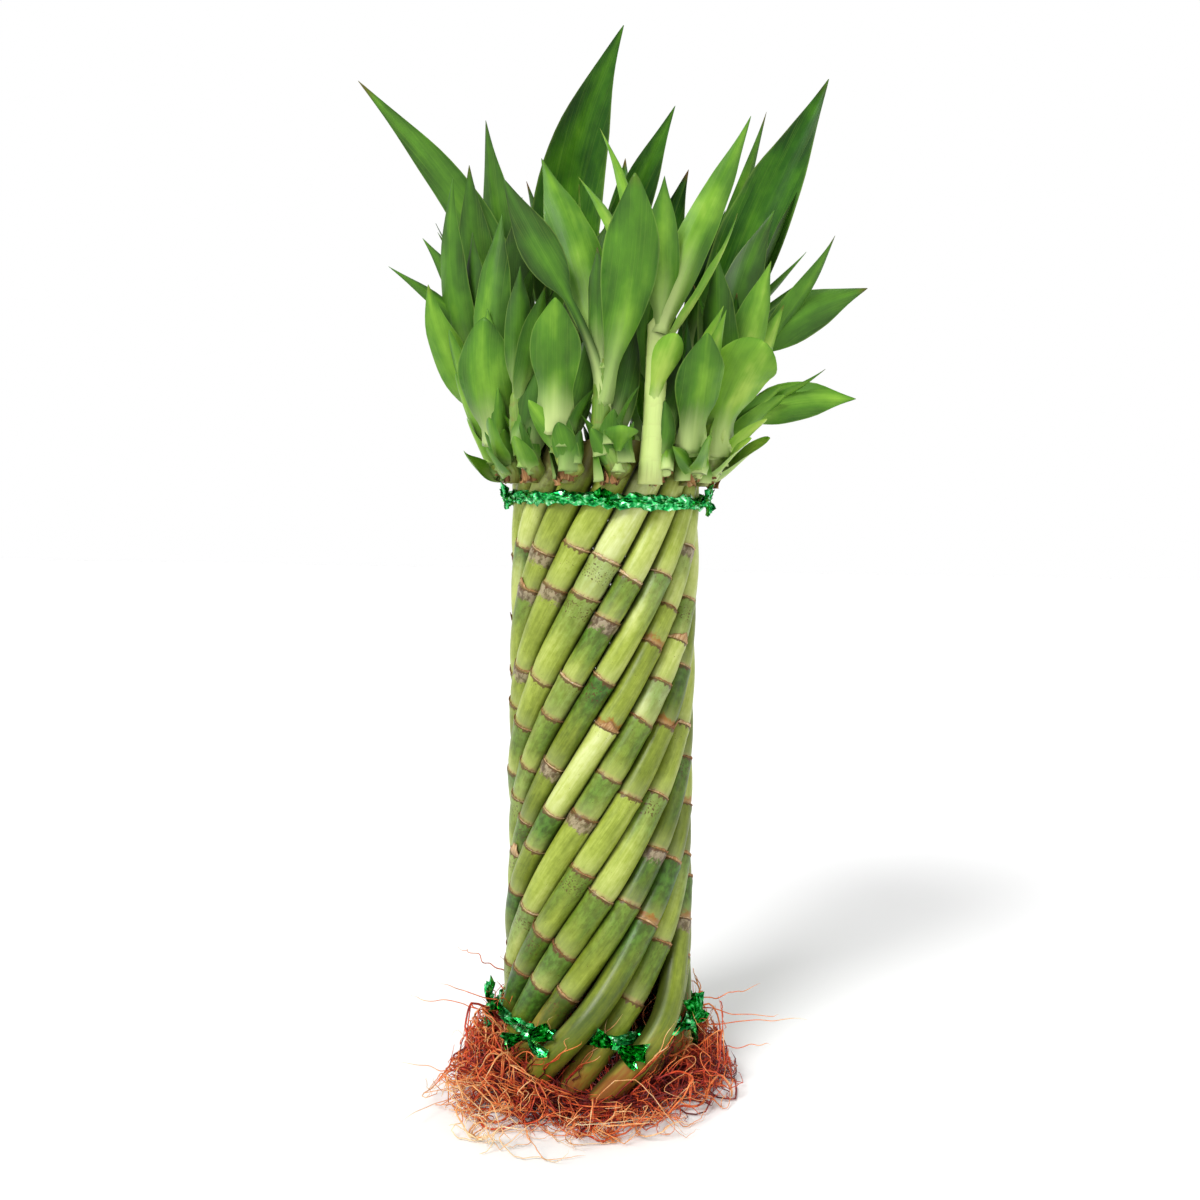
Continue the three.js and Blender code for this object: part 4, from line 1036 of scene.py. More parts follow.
def joint_distances(k, z, angle):
    """Signed distance above each joint, whose ring is a little tilted."""
    joints = np.array(cane_joints(k))
    turned_by = angle[None, :, None] + 2 * math.pi * noise(joints, 51)
    return z[:, None, None] - joints - joint_tilt(joints) * np.sin(turned_by)


def joint_swell(d):
    """A bulge below each joint, a lip on it and a groove above."""
    below = 0.055 * np.exp(-((d + 0.9) / 1.7) ** 2)
    lip = 0.042 * np.exp(-(d / 0.3) ** 2)
    groove = 0.035 * np.exp(-((d - 1.0) / 1.6) ** 2) * smoothstep(d / 0.6)
    return np.where(d < 0, below, lip - groove).sum(axis=-1)


def bark_swell(k, z, angle):
    """Radius of the bark compared with the plain cane, for stations z and angles round it."""
    d = joint_distances(k, z, angle)
    oval = 0.014 * np.sin(2 * angle[None] + z[:, None] / 55 + 6 * noise(k, 61))
    dents = 0.01 * np.sin(3 * angle[None] - z[:, None] / 9 + 6 * noise(k, 62))
    return 1 + joint_swell(d) + oval + dents * np.sin(z / 13 + k)[:, None], d


def bark_spokes(k, z, angle):
    """At heights z: the middle of the bark, its direction, and the way out from it at each angle."""
    t = cane_tangent(k, z)
    out = outward(cane_angle(k, z))
    n = unit(out - t * np.sum(out * t, axis=-1, keepdims=True))
    spoke = n * np.cos(angle)[..., None] + np.cross(t, n) * np.sin(angle)[..., None]
    return cane_point(k, z) - out * BARK_INSET, t, spoke


def bark_values(k, z, angle, d):
    """What the bark's material needs to know at each point, from the distances to the joints."""
    above = np.where(d >= 0, d, FAR).min(axis=-1)
    below = np.where(d < 0, -d, FAR).min(axis=-1)
    room = (d >= 0).sum(axis=-1)
    seed = k * 13 + room
    kind = noise(seed, 73)
    deep_from = np.where(room < 0.5 * len(cane_joints(k)), 0.38, 0.58)
    deep = np.where(noise(seed, 74) > deep_from, 0.5 + 0.5 * noise(seed, 75), 0.0)
    width = cane_radius(k, z)[:, None]
    height = z[:, None]
    bruised = kind > 0.86
    banded = (kind > 0.74) & ~bruised
    spotted = (kind > 0.56) & (kind <= 0.74)
    return {
        "around": stacked(np.cos(angle) * width, np.sin(angle) * width, height * 1.2),
        "joint": np.minimum(stacked(above, below, np.abs(d).min(axis=-1)), FAR),
        "tone": stacked(noise(k, 71), noise(seed, 72), height / 250),
        "cut": stacked(0.0, 1.0, deep),
        "mark": stacked(bruised, banded, spotted) * 1.0,
    }


def shrunk(ring, share, shift):
    """A ring drawn in towards its middle and moved."""
    middle = ring.mean(axis=0)
    return middle + (ring - middle) * share + shift


def cane_surface(k, material):
    """One cane: bark with its joints, a slanting dry cut on top and a flat rounded foot."""
    top = cane_top(k)
    joints = np.array(cane_joints(k))
    even = np.arange(BARK_FOOT, top, BARK_STEP)
    even = even[np.abs(even[:, None] - joints).min(axis=1) > JOINT_ROOM]
    z = np.unique(np.concatenate([even, (joints[:, None] + JOINT_STATIONS).ravel(), [BARK_FOOT, top]]))
    angle = circle(BARK_SIDES)
    swell, d = bark_swell(k, z, angle)
    centre, t, spoke = bark_spokes(k, z[:, None], angle)
    offset = spoke * (cane_radius(k, z)[:, None] * swell * BARK_FULLNESS)[..., None]
    slant = outward(front_angle(360 * noise(k, 12)))
    cut = unit(UP + slant * math.tan(math.radians(CUT_TILT)))
    at_top = smoothstep((z - top + CUT_LENGTH) / CUT_LENGTH)
    at_foot = 1 - smoothstep((z - BARK_FOOT) / CUT_LENGTH)
    slide = -(offset @ cut) / (t @ cut) * at_top[:, None]
    slide = slide - (offset @ UP) / (t @ UP) * at_foot[:, None]
    rings = centre + offset + t * slide[..., None]
    inner = [shrunk(rings[-1], share, -cut * depth) for share, depth in CUT_RINGS]
    under = [shrunk(rings[0], share, -UP * depth) for share, depth in FOOT_RINGS]
    values = bark_values(k, z, angle, d)
    for name, given in values.items():
        values[name] = np.concatenate([given[:1], given[:1], given, given[-1:], given[-1:], given[-1:]])
    values["cut"][-4:, :, 0] = CUT_DRY[:, None]
    values["cut"][-3:, :, 1] = CUT_RADIAL[:, None]
    surface = Surface(*values)
    surface.skin(np.concatenate([under, rings, inner]), values)
    return surface.piece(f"bamboo_cane_{k + 1:02d}", [material])


# Papery remains at the joints. Their rims go up outside and down inside.
PAPER_STEPS = 48
PAPER_UP = np.array([0, 0.45, 1, 1, 0.45, 0])
PAPER_INSET = np.array([0, 0, 0, -0.14, -0.13, -0.3])
PAPER_EDGE = np.array([0, 0.5, 1, 1, 0.5, 0])
SCRAP_SHARE = 0.18


def paper_surface(k, material):
    """Torn rims of dry paper above the joints of a cane, some of them with a longer scrap."""
    surface = Surface("paper")
    angle = circle(PAPER_STEPS)
    for i, joint in enumerate(cane_joints(k)):
        seed = k * 17 + i
        torn = ripple(angle, seed + 500, (7, 11, 17, 23))
        tall = np.maximum(0.12, 0.55 + 0.45 * ripple(angle, seed) + 0.2 * torn) * (0.3 + noise(seed, 85))
        if noise(seed, 81) < SCRAP_SHARE:
            spread = apart(angle, 2 * math.pi * noise(seed, 82))
            scrap = (2.0 + 3.0 * noise(seed, 83)) * np.exp(-(spread / 0.5) ** 2)
            tall = tall + scrap * (1 + 0.3 * torn)
        flare = 0.1 + 0.16 * tall * (1 + 0.5 * ripple(angle, seed + 900, (3, 5, 9)))
        height = joint + joint_tilt(joint) * np.sin(angle + 2 * math.pi * noise(joint, 51))
        swell = bark_swell(k, np.array([joint + 0.3]), angle)[0][0]
        z = height[:, None] + 0.25 + tall[:, None] * PAPER_UP
        centre, _, spoke = bark_spokes(k, z, angle[:, None])
        radius = cane_radius(k, z) * swell[:, None] * BARK_FULLNESS + 0.1 + flare[:, None] * PAPER_UP
        rings = centre + spoke * (radius + PAPER_INSET)[..., None]
        values = stacked((angle * CANE_RADII[k])[:, None], PAPER_EDGE, noise(seed, 84))
        surface.skin(rings, {"paper": values}, closed=True)
    return surface.piece(f"joint_paper_{k + 1:02d}", [material])


# Shoots. The streaks of their stems are wrapped on a radius of STEM_WRAP.
BLADE_COLUMNS = 9
LEAF_THICK = 0.5
STEM_SIDES = 18
STEM_STEP = 1.1
STEM_WRAP = 4
STEM_TONES = {1: 1.0, 3: 0.8, 4: 0.9}
STEM_FULLNESS = 1.26
STEM_SETTLE = 7
STEM_TUCK = 2.2
NODE_STEP = 7.5
NODE_SLANT = 1.6
# One shoot at the front is a straight pale column that flattens into the foot of its leaf.
COLUMN = 1
COLUMN_TOP = STEM_TOPS[COLUMN]
COLUMN_SHIFT = vector(-2.6, -0.6, 0)
COLUMN_FACE = 10
COLUMN_WIDTHS = (1.14, 0.92, 1.02)
COLUMN_FLAT = 30
COLUMN_SHEATHS = 2
# Sheaths that clasp the lower stem, and the dry scales at its foot
SHEATHS = 6
SHEATH_LENGTH = (13, 27)
SHEATH_WIDTH = (8, 12.5)
SHEATH_THICK = 0.4
SHEATH_LEAN = (-2, 17)
SHEATH_PITCH = 3.0
SHEATH_SIDE_LEAN = 22
HUG = 0.6
SCALES = 7
SCALE_LENGTH = (3, 8)
SCALE_WIDTH = (2, 5)
SCALE_THICK = 0.25
SCALE_LEAN = (-10, 50)
SCALE_SHADE = 0.35


def leaf_skin(surface, blade, seed, slot=0, thick=LEAF_THICK):
    """A thin cupped blade, waved along its margins, twisted towards its tip and creased along its middle."""
    rows = int(np.clip(9 + blade.length / 4.5, 10, 30))
    even = np.linspace(0, 1, rows)
    u = np.minimum(0.55 * even + 0.45 * (1 - np.cos(math.pi * even)) / 2, 0.997)
    x = np.linspace(1, -1, BLADE_COLUMNS)
    draw = noise(seed, 400 + np.arange(8))
    point, _, side, normal = blade.frames(u)
    half = blade.outline(u)
    cup = half * ((0.95 if blade.blunt >= 1 else 0.65) * (1 - u) ** 2 + 0.28)
    long = np.clip(blade.length / 60, 0.3, 1.3)
    side, normal = rolled(side, normal, math.radians(26) * (draw[0] - 0.5) * long * u ** 2)
    wave = np.sin(2 * math.pi * (u * (1.5 + 2 * draw[1]) * long + draw[2]))
    other = np.sin(2 * math.pi * (u * (2.2 + 2 * draw[3]) * long + draw[4]))
    flutter = 0.09 * half * smoothstep(u / 0.3) * (0.4 + draw[5])
    lift = flutter[:, None] * np.where(x > 0, wave[:, None], other[:, None]) * np.abs(x) ** 2
    crease = -0.17 * half[:, None] * np.exp(-(x / 0.13) ** 2) * smoothstep((0.75 - u) / 0.4)[:, None]
    bulge = cup[:, None] * (1 - np.abs(x) ** 1.5) + lift + crease
    flat = point[:, None] + side[:, None] * (half[:, None] * x)[..., None]
    flat = flat + normal[:, None] * bulge[..., None]
    body = 0.5 * thick * (1 - np.abs(x) ** 4) * (1 - 0.6 * u[:, None])
    raised = flat + normal[:, None] * body[..., None]
    sunk = flat - normal[:, None] * body[..., None]
    rings = np.concatenate([raised, sunk[:, -2:0:-1]], axis=1)
    shares = np.concatenate([x, x[-2:0:-1]])
    under = np.concatenate([np.ones(BLADE_COLUMNS), np.zeros(BLADE_COLUMNS - 2)])
    under[[0, BLADE_COLUMNS - 1]] = 0.5
    dry = max(0, 1.6 * draw[6] - 0.6) * (1 - min(1, 2 * blade.blunt))
    up = u[:, None]
    wide = half[:, None] * shares
    values = {
        "blade": stacked(shares, up, draw[7]),
        "size": stacked(wide, up * blade.length, blade.tone),
        "kind": stacked(blade.pale, under, dry),
        "paper": stacked(wide, up, draw[7] * (SCALE_SHADE if slot else 1)),
    }
    surface.skin(rings, values, slot, creased=(0, BLADE_COLUMNS - 1))


def column_point(z):
    """The middle of the straight column at a height."""
    low = stem_point(COLUMN, STEM_FOOT_Z) + COLUMN_SHIFT
    high = stem_point(COLUMN, COLUMN_TOP)
    share = (np.asarray(z, dtype=float) - STEM_FOOT_Z) / (COLUMN_TOP - STEM_FOOT_Z)
    return low + (high - low) * share[..., None]


def column_rings(z, angle, bumps):
    """Rings of the straight column: round at its foot, flat at its top."""
    share = (z - STEM_FOOT_Z) / (COLUMN_TOP - STEM_FOOT_Z)
    radius = STEM_RADIUS * np.interp(share, (0, 0.4, 1), COLUMN_WIDTHS)[:, None] * bumps
    depth = 1 - 0.72 * smoothstep((z - COLUMN_TOP + COLUMN_FLAT) / COLUMN_FLAT)
    close = 1 - 0.6 * smoothstep((z - COLUMN_TOP + 3) / 4)
    face = math.radians(COLUMN_FACE)
    across = vector(math.cos(face), math.sin(face), 0)
    front = vector(math.sin(face), -math.cos(face), 0)
    wide = (radius * close[:, None] * np.cos(angle))[..., None] * across
    deep = (radius * (close * depth)[:, None] * np.sin(angle))[..., None] * front
    return column_point(z)[:, None] + wide + deep


def stem_skin(surface, k, slot):
    """A shoot's stem with the ledges that its sheaths leave."""
    top = STEM_TOPS[k] + 1.5
    z = np.arange(STEM_FOOT_Z, top, STEM_STEP)
    angle = circle(STEM_SIDES)
    phase = 2 * math.pi * noise(np.floor(z / NODE_STEP), k + 91)
    slant = NODE_SLANT * np.sin(angle + phase[:, None])
    ledge = np.mod(z[:, None] - STEM_FOOT_Z + slant, NODE_STEP) / NODE_STEP
    if k == COLUMN:
        rings = column_rings(z, angle, 1 + 0.025 * ledge)
    else:
        settled = smoothstep((z - STEM_FOOT_Z) / STEM_SETTLE)[:, None]
        share = ((z - STEM_FOOT_Z) / (top - STEM_FOOT_Z))[:, None]
        swell = (1 + 0.1 * ledge) * (0.45 + 0.55 * settled) * (STEM_FULLNESS + (1 - STEM_FULLNESS) * share)
        swell = swell * (1 - 0.7 * smoothstep((z - top + 5) / 5))[:, None]
        centre = stem_point(k, z)
        out = outward(stem_angle(k, z))
        rings = tube_ring(centre, np.broadcast_to(UP, (len(z), 3)), 1.0, STEM_SIDES, out)
        spoke = (rings - centre[:, None]) * (stem_radius(k, z)[:, None] * swell)[..., None]
        rings = centre[:, None] + spoke - out[:, None] * STEM_TUCK * (1 - settled)[..., None]
    tone = STEM_TONES.get(k, 0.1 + 0.5 * noise(k, 92))
    values = {
        "around": stacked(np.cos(angle) * STEM_WRAP, np.sin(angle) * STEM_WRAP, z[:, None]),
        "joint": stacked(ledge, tone, noise(k, 93)),
    }
    surface.skin(rings, values, slot)


def clasping_blade(k, height, around, length, lean, width, inset, shape):
    """A short blade that starts on the stem's own surface."""
    base = stem_point(k, height) + outward(around) * stem_radius(k, height) * inset
    tip = leaning(base, outward(around), length, lean)
    blade = Blade(k, height, tip, width, dict(shape, face=math.degrees(around) + 90, petiole=0, blunt=1))
    blade.base = base
    return blade


def sheath_skins(surface, k):
    """Overlapping leaf sheaths round the foot of a shoot, paler to the right and at their bases."""
    rng = np.random.default_rng(1300 + k)
    out = stem_angle(k, STEM_FOOT_Z)
    for i in range(COLUMN_SHEATHS if k == COLUMN else SHEATHS):
        draw = rng.random(6)
        around = out + math.radians(-115 + 230 * ((i * 0.382) % 1) + 40 * (draw[0] - 0.5))
        height = STEM_FOOT_Z + 0.8 + SHEATH_PITCH * i + 1.5 * draw[1]
        x = stem_point(k, height)[0]
        shape = dict(rise=0.1, arch=0.3 * draw[5], tone=0.34 + 0.22 * draw[5] + 0.36 * smoothstep(x / 45),
                     pale=0.35 + 0.6 * smoothstep(x / 50 + 0.4))
        lean = between(SHEATH_LEAN, draw[3] ** 1.5) + SHEATH_SIDE_LEAN * math.sin(around - out) ** 2
        blade = clasping_blade(k, height, around, between(SHEATH_LENGTH, draw[2]), math.radians(lean),
                               between(SHEATH_WIDTH, draw[4]), 0.72, shape)
        leaf_skin(surface, blade, k * 83 + i, 0, SHEATH_THICK)


def scale_skins(surface, k, slot):
    """Tan, papery scales that stand off round the foot of a shoot."""
    rng = np.random.default_rng(900 + k)
    out = stem_angle(k, STEM_FOOT_Z)
    for i in range(SCALES):
        draw = rng.random(6)
        around = out + math.radians(-110 + 220 * (i + draw[0]) / SCALES)
        height = STEM_FOOT_Z - 1.0 + 6 * draw[1]
        lean = math.radians(between(SCALE_LEAN, draw[3]))
        blade = clasping_blade(k, height, around, between(SCALE_LENGTH, draw[2] ** 1.5), lean,
                               between(SCALE_WIDTH, draw[4]), 0.6, dict(rise=-0.4, arch=0.5 * draw[5] - 0.25))
        leaf_skin(surface, blade, k * 57 + i, slot, SCALE_THICK)


def hugging(blade):
    """A blade as it stands in the end: on the column, or a bract close to its stem towards the front."""
    if blade.k == COLUMN:
        blade.base = column_point(blade.height)
    blade.knee = blade.knee + vector(*blade.sway)
    if blade.blunt < 1 or blade.slim == 1:
        return blade
    close = smoothstep((38 - abs(blade.base[0])) / 20) * (blade.base[1] < 0)
    reach = (blade.tip - blade.base) * (1 - HUG * close * (1 - UP)) * (1 + 0.2 * close * UP)
    shape = dict(blade.shape, rise=0.1 * close - 0.3)
    return Blade(blade.k, blade.height, blade.base + reach, blade.width, shape)


def shoot_surface(k, blades, materials):
    """One shoot: its leaves, its stem, its sheaths and its dry scales."""
    surface = Surface("blade", "size", "kind", "around", "joint", "paper")
    for i, blade in enumerate(blades):
        leaf_skin(surface, hugging(blade), k * 31 + i)
    stem_skin(surface, k, 1)
    sheath_skins(surface, k)
    scale_skins(surface, k, 2)
    return surface.piece(f"leafy_shoot_{k + 1:02d}", materials)


# Roots: how many main roots leave each crown, how many side roots each has, and how many finer ones there are
ROOT_STRANDS = 24
SIDE_ROOTS = 7
ROOT_HAIRS = 24
LACE_ROOTS = 44
INNER_ROOTS = 40
CLIMBING_ROOTS = 4
MAIN_STEPS = 24
ROOT_FLOOR = 0.35
ROOT_STEEPEST = 0.8
ROOT_SETTLE = 7.0
KINK_SHARE = 0.13
CROWN_SIDES = 20
CROWN_TAPER = np.array([0.6, 0.82, 0.92, 0.95, 0.95, 0.9, 0.8])
# How far the tangle spreads: all round, more at the front, most at the front left.
ROOT_SPREAD = 52
ROOT_FRONT = 27
ROOT_FRONT_LEFT = 28
ROOT_LEFT_AT = -119
ROOT_LEFT_WIDTH = 29
ROOT_FRONT_LINE = -93.5
ROOT_HEART = 20
# Single long roots: the point on its cane that each leaves, and its tip.
WISPS = (
    (38, -12, 20, 82, -22, 27), (40, -6, 29, 66, -12, 36), (42, -14, 12, 68, -30, 20),
    (40, -2, 24, 76, -8, 22), (-40, -10, 24, -75, -16, 31), (-36, -30, 4, -73, -66, 3),
    (-38, 2, 36, -58, -8, 50), (-40, -14, 30, -62, -22, 38), (-34, -32, 6, -76, -40, 14),
)
WISP_SWAY = (2.6, 2.6, 2.0)


def root_reach(angle):
    """How far the tangle spreads in a direction."""
    front = np.maximum(0, -np.sin(angle)) ** 1.5
    off = apart(angle, math.radians(ROOT_LEFT_AT)) / math.radians(ROOT_LEFT_WIDTH)
    return ROOT_SPREAD + ROOT_FRONT * front + ROOT_FRONT_LEFT * np.exp(-off ** 2)


def frontness(angle):
    """1 at the front, and 0 from the sides to the back."""
    return np.maximum(0, -np.sin(angle)) ** 2


def root_ceiling(at):
    """How high a root may stand: the feet of the front canes stay in sight above it."""
    angle = bearing(at)
    reach = distance_of(at)
    low = 2.6 + 0.5 * np.maximum(0, reach - 47) + ROOT_HEART * smoothstep((40 - reach) / 5)
    edge = np.clip((reach - 46) / (root_reach(angle) - 46), 0, 1)
    dome = 4 + 28 * np.sqrt(1 - edge ** 2)
    return low * frontness(angle) + dome * (1 - frontness(angle))


def root_stretch(angle):
    """How long the roots grow in this direction, compared with those at the sides."""
    return (root_reach(angle) - 28) / 36


def crown_skin(surface, k):
    """The knobbly end of a cane, from which its roots grow."""
    rows = len(CROWN_TAPER)
    z = np.linspace(0.2, CANE_FOOT + 0.4, rows)
    angle = circle(CROWN_SIDES)
    bumps = 1 + 0.07 * np.stack([ripple(angle + i, k * 5 + i, (3, 5, 7)) for i in range(rows)])
    radius = cane_radius(k, 0) * bumps * CROWN_TAPER[:, None]
    foot = np.broadcast_to(cane_point(k, CANE_FOOT), (rows, CROWN_SIDES, 3))
    rings = at_height(foot, z[:, None]) + outward(angle) * radius[..., None]
    surface.skin(rings, {"strand": (0.15, noise(k, 95) * 0.5, 0), "spot": rings})


def walk(rng, at, heading, climb, lengths, steps, loose, drift=0.0):
    """Wandering paths from the given starts, over the floor and within the tangle's reach."""
    count = len(at)
    bend = rng.normal(0, 0.12, count)
    rise = np.zeros(count)
    freedom = 0.4 + 1.1 * rng.random(count) ** 2
    share = 0.8 + 0.24 * rng.random(count) ** 0.7
    path = [at.copy()]
    for _ in range(steps):
        bend = 0.82 * bend + rng.normal(0, 0.1 * loose, count)
        kink = (rng.random(count) < KINK_SHARE) * rng.normal(0, 0.8, count)
        heading = heading + bend + kink + drift * np.sin(bearing(at) - heading)
        rise = 0.8 * rise + rng.normal(0, 0.14 * loose, count)
        settle = ROOT_SETTLE * (1 - 0.4 * frontness(bearing(at)))
        climb = climb + rise - 0.06 * (at[:, 2] - settle) / settle
        climb = np.clip(climb, -ROOT_STEEPEST, ROOT_STEEPEST)
        flat = np.cos(climb)
        step = stacked(np.cos(heading) * flat, np.sin(heading) * flat, np.sin(climb))
        at = at + step * (lengths / steps)[:, None]
        climb = np.where(at[:, 2] < ROOT_FLOOR + 0.3, np.abs(climb) * 0.4, climb)
        at[:, 2] = np.maximum(at[:, 2], ROOT_FLOOR)
        here = bearing(at)
        limit = root_reach(here) * share
        back = np.sign(np.sin(here + math.pi / 2 - heading) + 1e-6)
        heading = np.where(distance_of(at) > limit * 0.92, heading + 0.5 * back, heading)
        at[:, :2] /= np.maximum(distance_of(at) / (limit + 3), 1)[:, None]
        at[:, 1] = np.maximum(at[:, 1], ROOT_FRONT_LINE)
        at[:, 2] = np.maximum(ROOT_FLOOR, np.minimum(at[:, 2], root_ceiling(at) * freedom))
        path.append(at.copy())
    return np.stack(path, axis=1)


def crown_starts(rng, k, count):
    """Starts on a cane's lower end, with the direction that each root sets out in."""
    foot = cane_point(k, CANE_FOOT)
    out = math.atan2(foot[1], foot[0])
    z = 0.8 + (13 - 11.5 * frontness(out)) * rng.random(count) ** 1.8
    centre = cane_point(k, CANE_FOOT + z * 0.5)
    spread = math.radians(125) * (2 * rng.random(count) - 1)
    at = at_height(centre + outward(out + spread) * CANE_RADII[k] * 0.85, z)
    return at, out + spread * 0.75 + rng.normal(0, 0.35, count)


def strand_skins(surface, paths, thick, sides, seeds, start):
    """Tapering tubes along the paths. start: how far along its root each one sets out, from 0 to 1."""
    count, rows = paths.shape[:2]
    thick, seeds, start = np.broadcast_arrays(thick, seeds, start, np.zeros(count))[:3]
    slope = unit(np.gradient(paths, axis=1))
    side = unit(np.cross(slope, UP + 1e-3))
    over = np.cross(side, slope)
    s = np.linspace(0, 1, rows)
    radius = thick[:, None] * (1 - 0.5 * s) * (1 - 0.75 * smoothstep((s - 0.85) / 0.15))
    angle = circle(sides)[:, None]
    for i in range(count):
        ring = side[i][:, None] * np.cos(angle) + over[i][:, None] * np.sin(angle)
        rings = paths[i][:, None] + ring * radius[i][:, None, None]
        rings[..., 2] = np.maximum(rings[..., 2], 0.02)
        along = (start[i] + (1 - start[i]) * s)[:, None]
        surface.skin(rings, {"strand": stacked(along, seeds[i], 0.0), "spot": rings})


def climbing_paths(rng, k, count):
    """Thin roots that creep up the lower part of a cane."""
    z0 = 3 + 12 * rng.random(count)
    rise = 8 + 20 * rng.random(count)
    side = 1.6 * (rng.random(count) - 0.5)
    paths = []
    for i in range(count):
        s = np.linspace(0, 1, 26)
        z = z0[i] + rise[i] * s
        around = cane_angle(k, z) + side[i] + 0.7 * ripple(2.5 * s, k * 3 + i, (1, 2, 4, 7)) * s ** 0.5
        off = 0.5 + 2.5 * s ** 3 * rng.random()
        paths.append(cane_point(k, z) + outward(around) * (cane_radius(k, z) * BARK_FULLNESS + off)[:, None])
    return np.stack(paths)


def wisp_paths(k):
    """The long single roots that leave this cane."""
    paths = []
    s = np.linspace(0, 1, 40)
    for i, wisp in enumerate(WISPS):
        start = vector(*wisp[:3])
        tip = vector(*wisp[3:])
        away = apart(PHASES + turn(start[2]), math.atan2(start[1], start[0]))
        if np.argmin(np.abs(away)) != k:
            continue
        path = start + (tip - start) * s[:, None]
        for axis, sway in enumerate(WISP_SWAY):
            path[:, axis] += sway * ripple(5 * s, i * 7 + axis, (1, 2, 3, 5)) * s ** 0.5
        path[:, 2] = np.maximum(path[:, 2], ROOT_FLOOR)
        paths.append(path)
    return np.array(paths)


def main_roots(surface, rng, k):
    """The main roots of a crown, and the side roots that fork off them."""
    count = ROOT_STRANDS
    at, heading = crown_starts(rng, k, count)
    lengths = (14 + 42 * rng.random(count)) * root_stretch(heading) ** 0.8
    mains = walk(rng, at, heading, rng.normal(0.15, 0.35, count), lengths, MAIN_STEPS, 1.5, 0.1)
    thick = 0.3 + 0.32 * rng.random(count)
    seeds = rng.random(count)
    strand_skins(surface, mains, thick, 5, seeds, 0.0)
    parent = np.repeat(np.arange(count), SIDE_ROOTS)
    count = len(parent)
    mark = rng.integers(3, MAIN_STEPS - 1, count)
    slope = mains[parent, mark + 1] - mains[parent, mark]
    fork = np.sign(rng.random(count) - 0.5) * (0.6 + 0.9 * rng.random(count))
    lengths = 4 + 12 * rng.random(count) ** 1.5
    heading = bearing(slope) + fork
    sides = walk(rng, mains[parent, mark], heading, rng.normal(0.1, 0.5, count), lengths, 9, 2.0)
    shades = seeds[parent] * 0.7 + 0.3 * rng.random(count)
    strand_skins(surface, sides, thick[parent] * 0.55, 3, shades, mark / MAIN_STEPS * 0.8)
    return mains


def hair_roots(surface, rng, k):
    """Fine roots from the crown itself."""
    count = ROOT_HAIRS
    at, heading = crown_starts(rng, k, count)
    lengths = (22 + 50 * rng.random(count)) * root_stretch(heading) ** 0.8
    hairs = walk(rng, at, heading, rng.normal(0.2, 0.4, count), lengths, 30, 2.2, 0.05)
    strand_skins(surface, hairs, 0.17 + 0.13 * rng.random(count), 3, 0.4 + 0.6 * rng.random(count), 0.3)


def lace_roots(surface, rng, k, mains):
    """Fine roots from the outer half of the main ones, most of them at the front left."""
    foot = cane_point(k, CANE_FOOT)
    left = apart(math.atan2(foot[1], foot[0]), math.radians(ROOT_LEFT_AT))
    count = int(LACE_ROOTS * (0.8 + math.exp(-(left / 0.7) ** 2)))
    at = mains[rng.integers(0, ROOT_STRANDS, count), rng.integers(11, MAIN_STEPS + 1, count)]
    heading = 2 * math.pi * rng.random(count)
    lengths = (12 + 22 * rng.random(count)) * root_stretch(bearing(at)) ** 0.7
    lace = walk(rng, at, heading, rng.normal(0, 0.2, count), lengths, 20, 2.6, 0.03)
    strand_skins(surface, lace, 0.18 + 0.17 * rng.random(count), 3, 0.35 + 0.65 * rng.random(count), 0.4)


def inner_roots(surface, rng, k):
    """Roots that fill the hollow between the crowns, given dark shades as painted shade inside the bundle."""
    count = INNER_ROOTS
    at, heading = crown_starts(rng, k, count)
    at[:, :2] *= 0.88
    at[:, 2] += 20 * rng.random(count)
    lengths = 14 + 26 * rng.random(count)
    inner = walk(rng, at, heading + math.pi, rng.normal(0.5, 0.4, count), lengths, 20, 2.2, -0.06)
    strand_skins(surface, inner, 0.22 + 0.14 * rng.random(count), 3, 0.3 * rng.random(count), 0.0)


def root_surface(k, material):
    """All the roots of one cane. The kinds come in a fixed order, as they share one row of random draws."""
    surface = Surface("strand", "spot")
    crown_skin(surface, k)
    rng = np.random.default_rng(5000 + k)
    mains = main_roots(surface, rng, k)
    hair_roots(surface, rng, k)
    lace_roots(surface, rng, k, mains)
    inner_roots(surface, rng, k)
    climbers = climbing_paths(rng, k, CLIMBING_ROOTS)
    thick = 0.2 + 0.14 * rng.random(CLIMBING_ROOTS)
    strand_skins(surface, climbers, thick, 4, rng.random(CLIMBING_ROOTS), 0.1)
    wisps = wisp_paths(k)
    if len(wisps):
        strand_skins(surface, wisps, 0.26, 4, 0.55, 0.2)
    return surface.piece(f"root_tangle_{k + 1:02d}", [material])


# Ties. The rises are the directions of each tuft's ends, in degrees, and LOW_LIFT is how far each of the
# lower tufts stands off.
FOIL_THICK = 0.14
RIBBON_SHARES = np.array([-1, -0.34, 0.34, 1.0])
TWIST_FLAT = np.array([0.45, 0.45, 1.0])
FAN_ROWS = 12
FAN_PLEATS = 4
FAN_BOW = 0.14
TOP_RISES = ((25, 65, -20, 160, 120), (165, 75, -50, 20, 120), (60, 115, 5))
LOW_RISES = ((75, 112, -65, 35), (24, -22, 200), (-14, -40, 150), (70, 100, 20, -60))
LOW_LIFT = (0, 3.4, 3.4, 0)
LOW_OUTSIDE = BUNDLE_RADIUS + FOOT_FLARE * math.exp(-LOW_TIE_Z / FOOT_FLARE_HEIGHT)
TUFT_TURN = 0.87


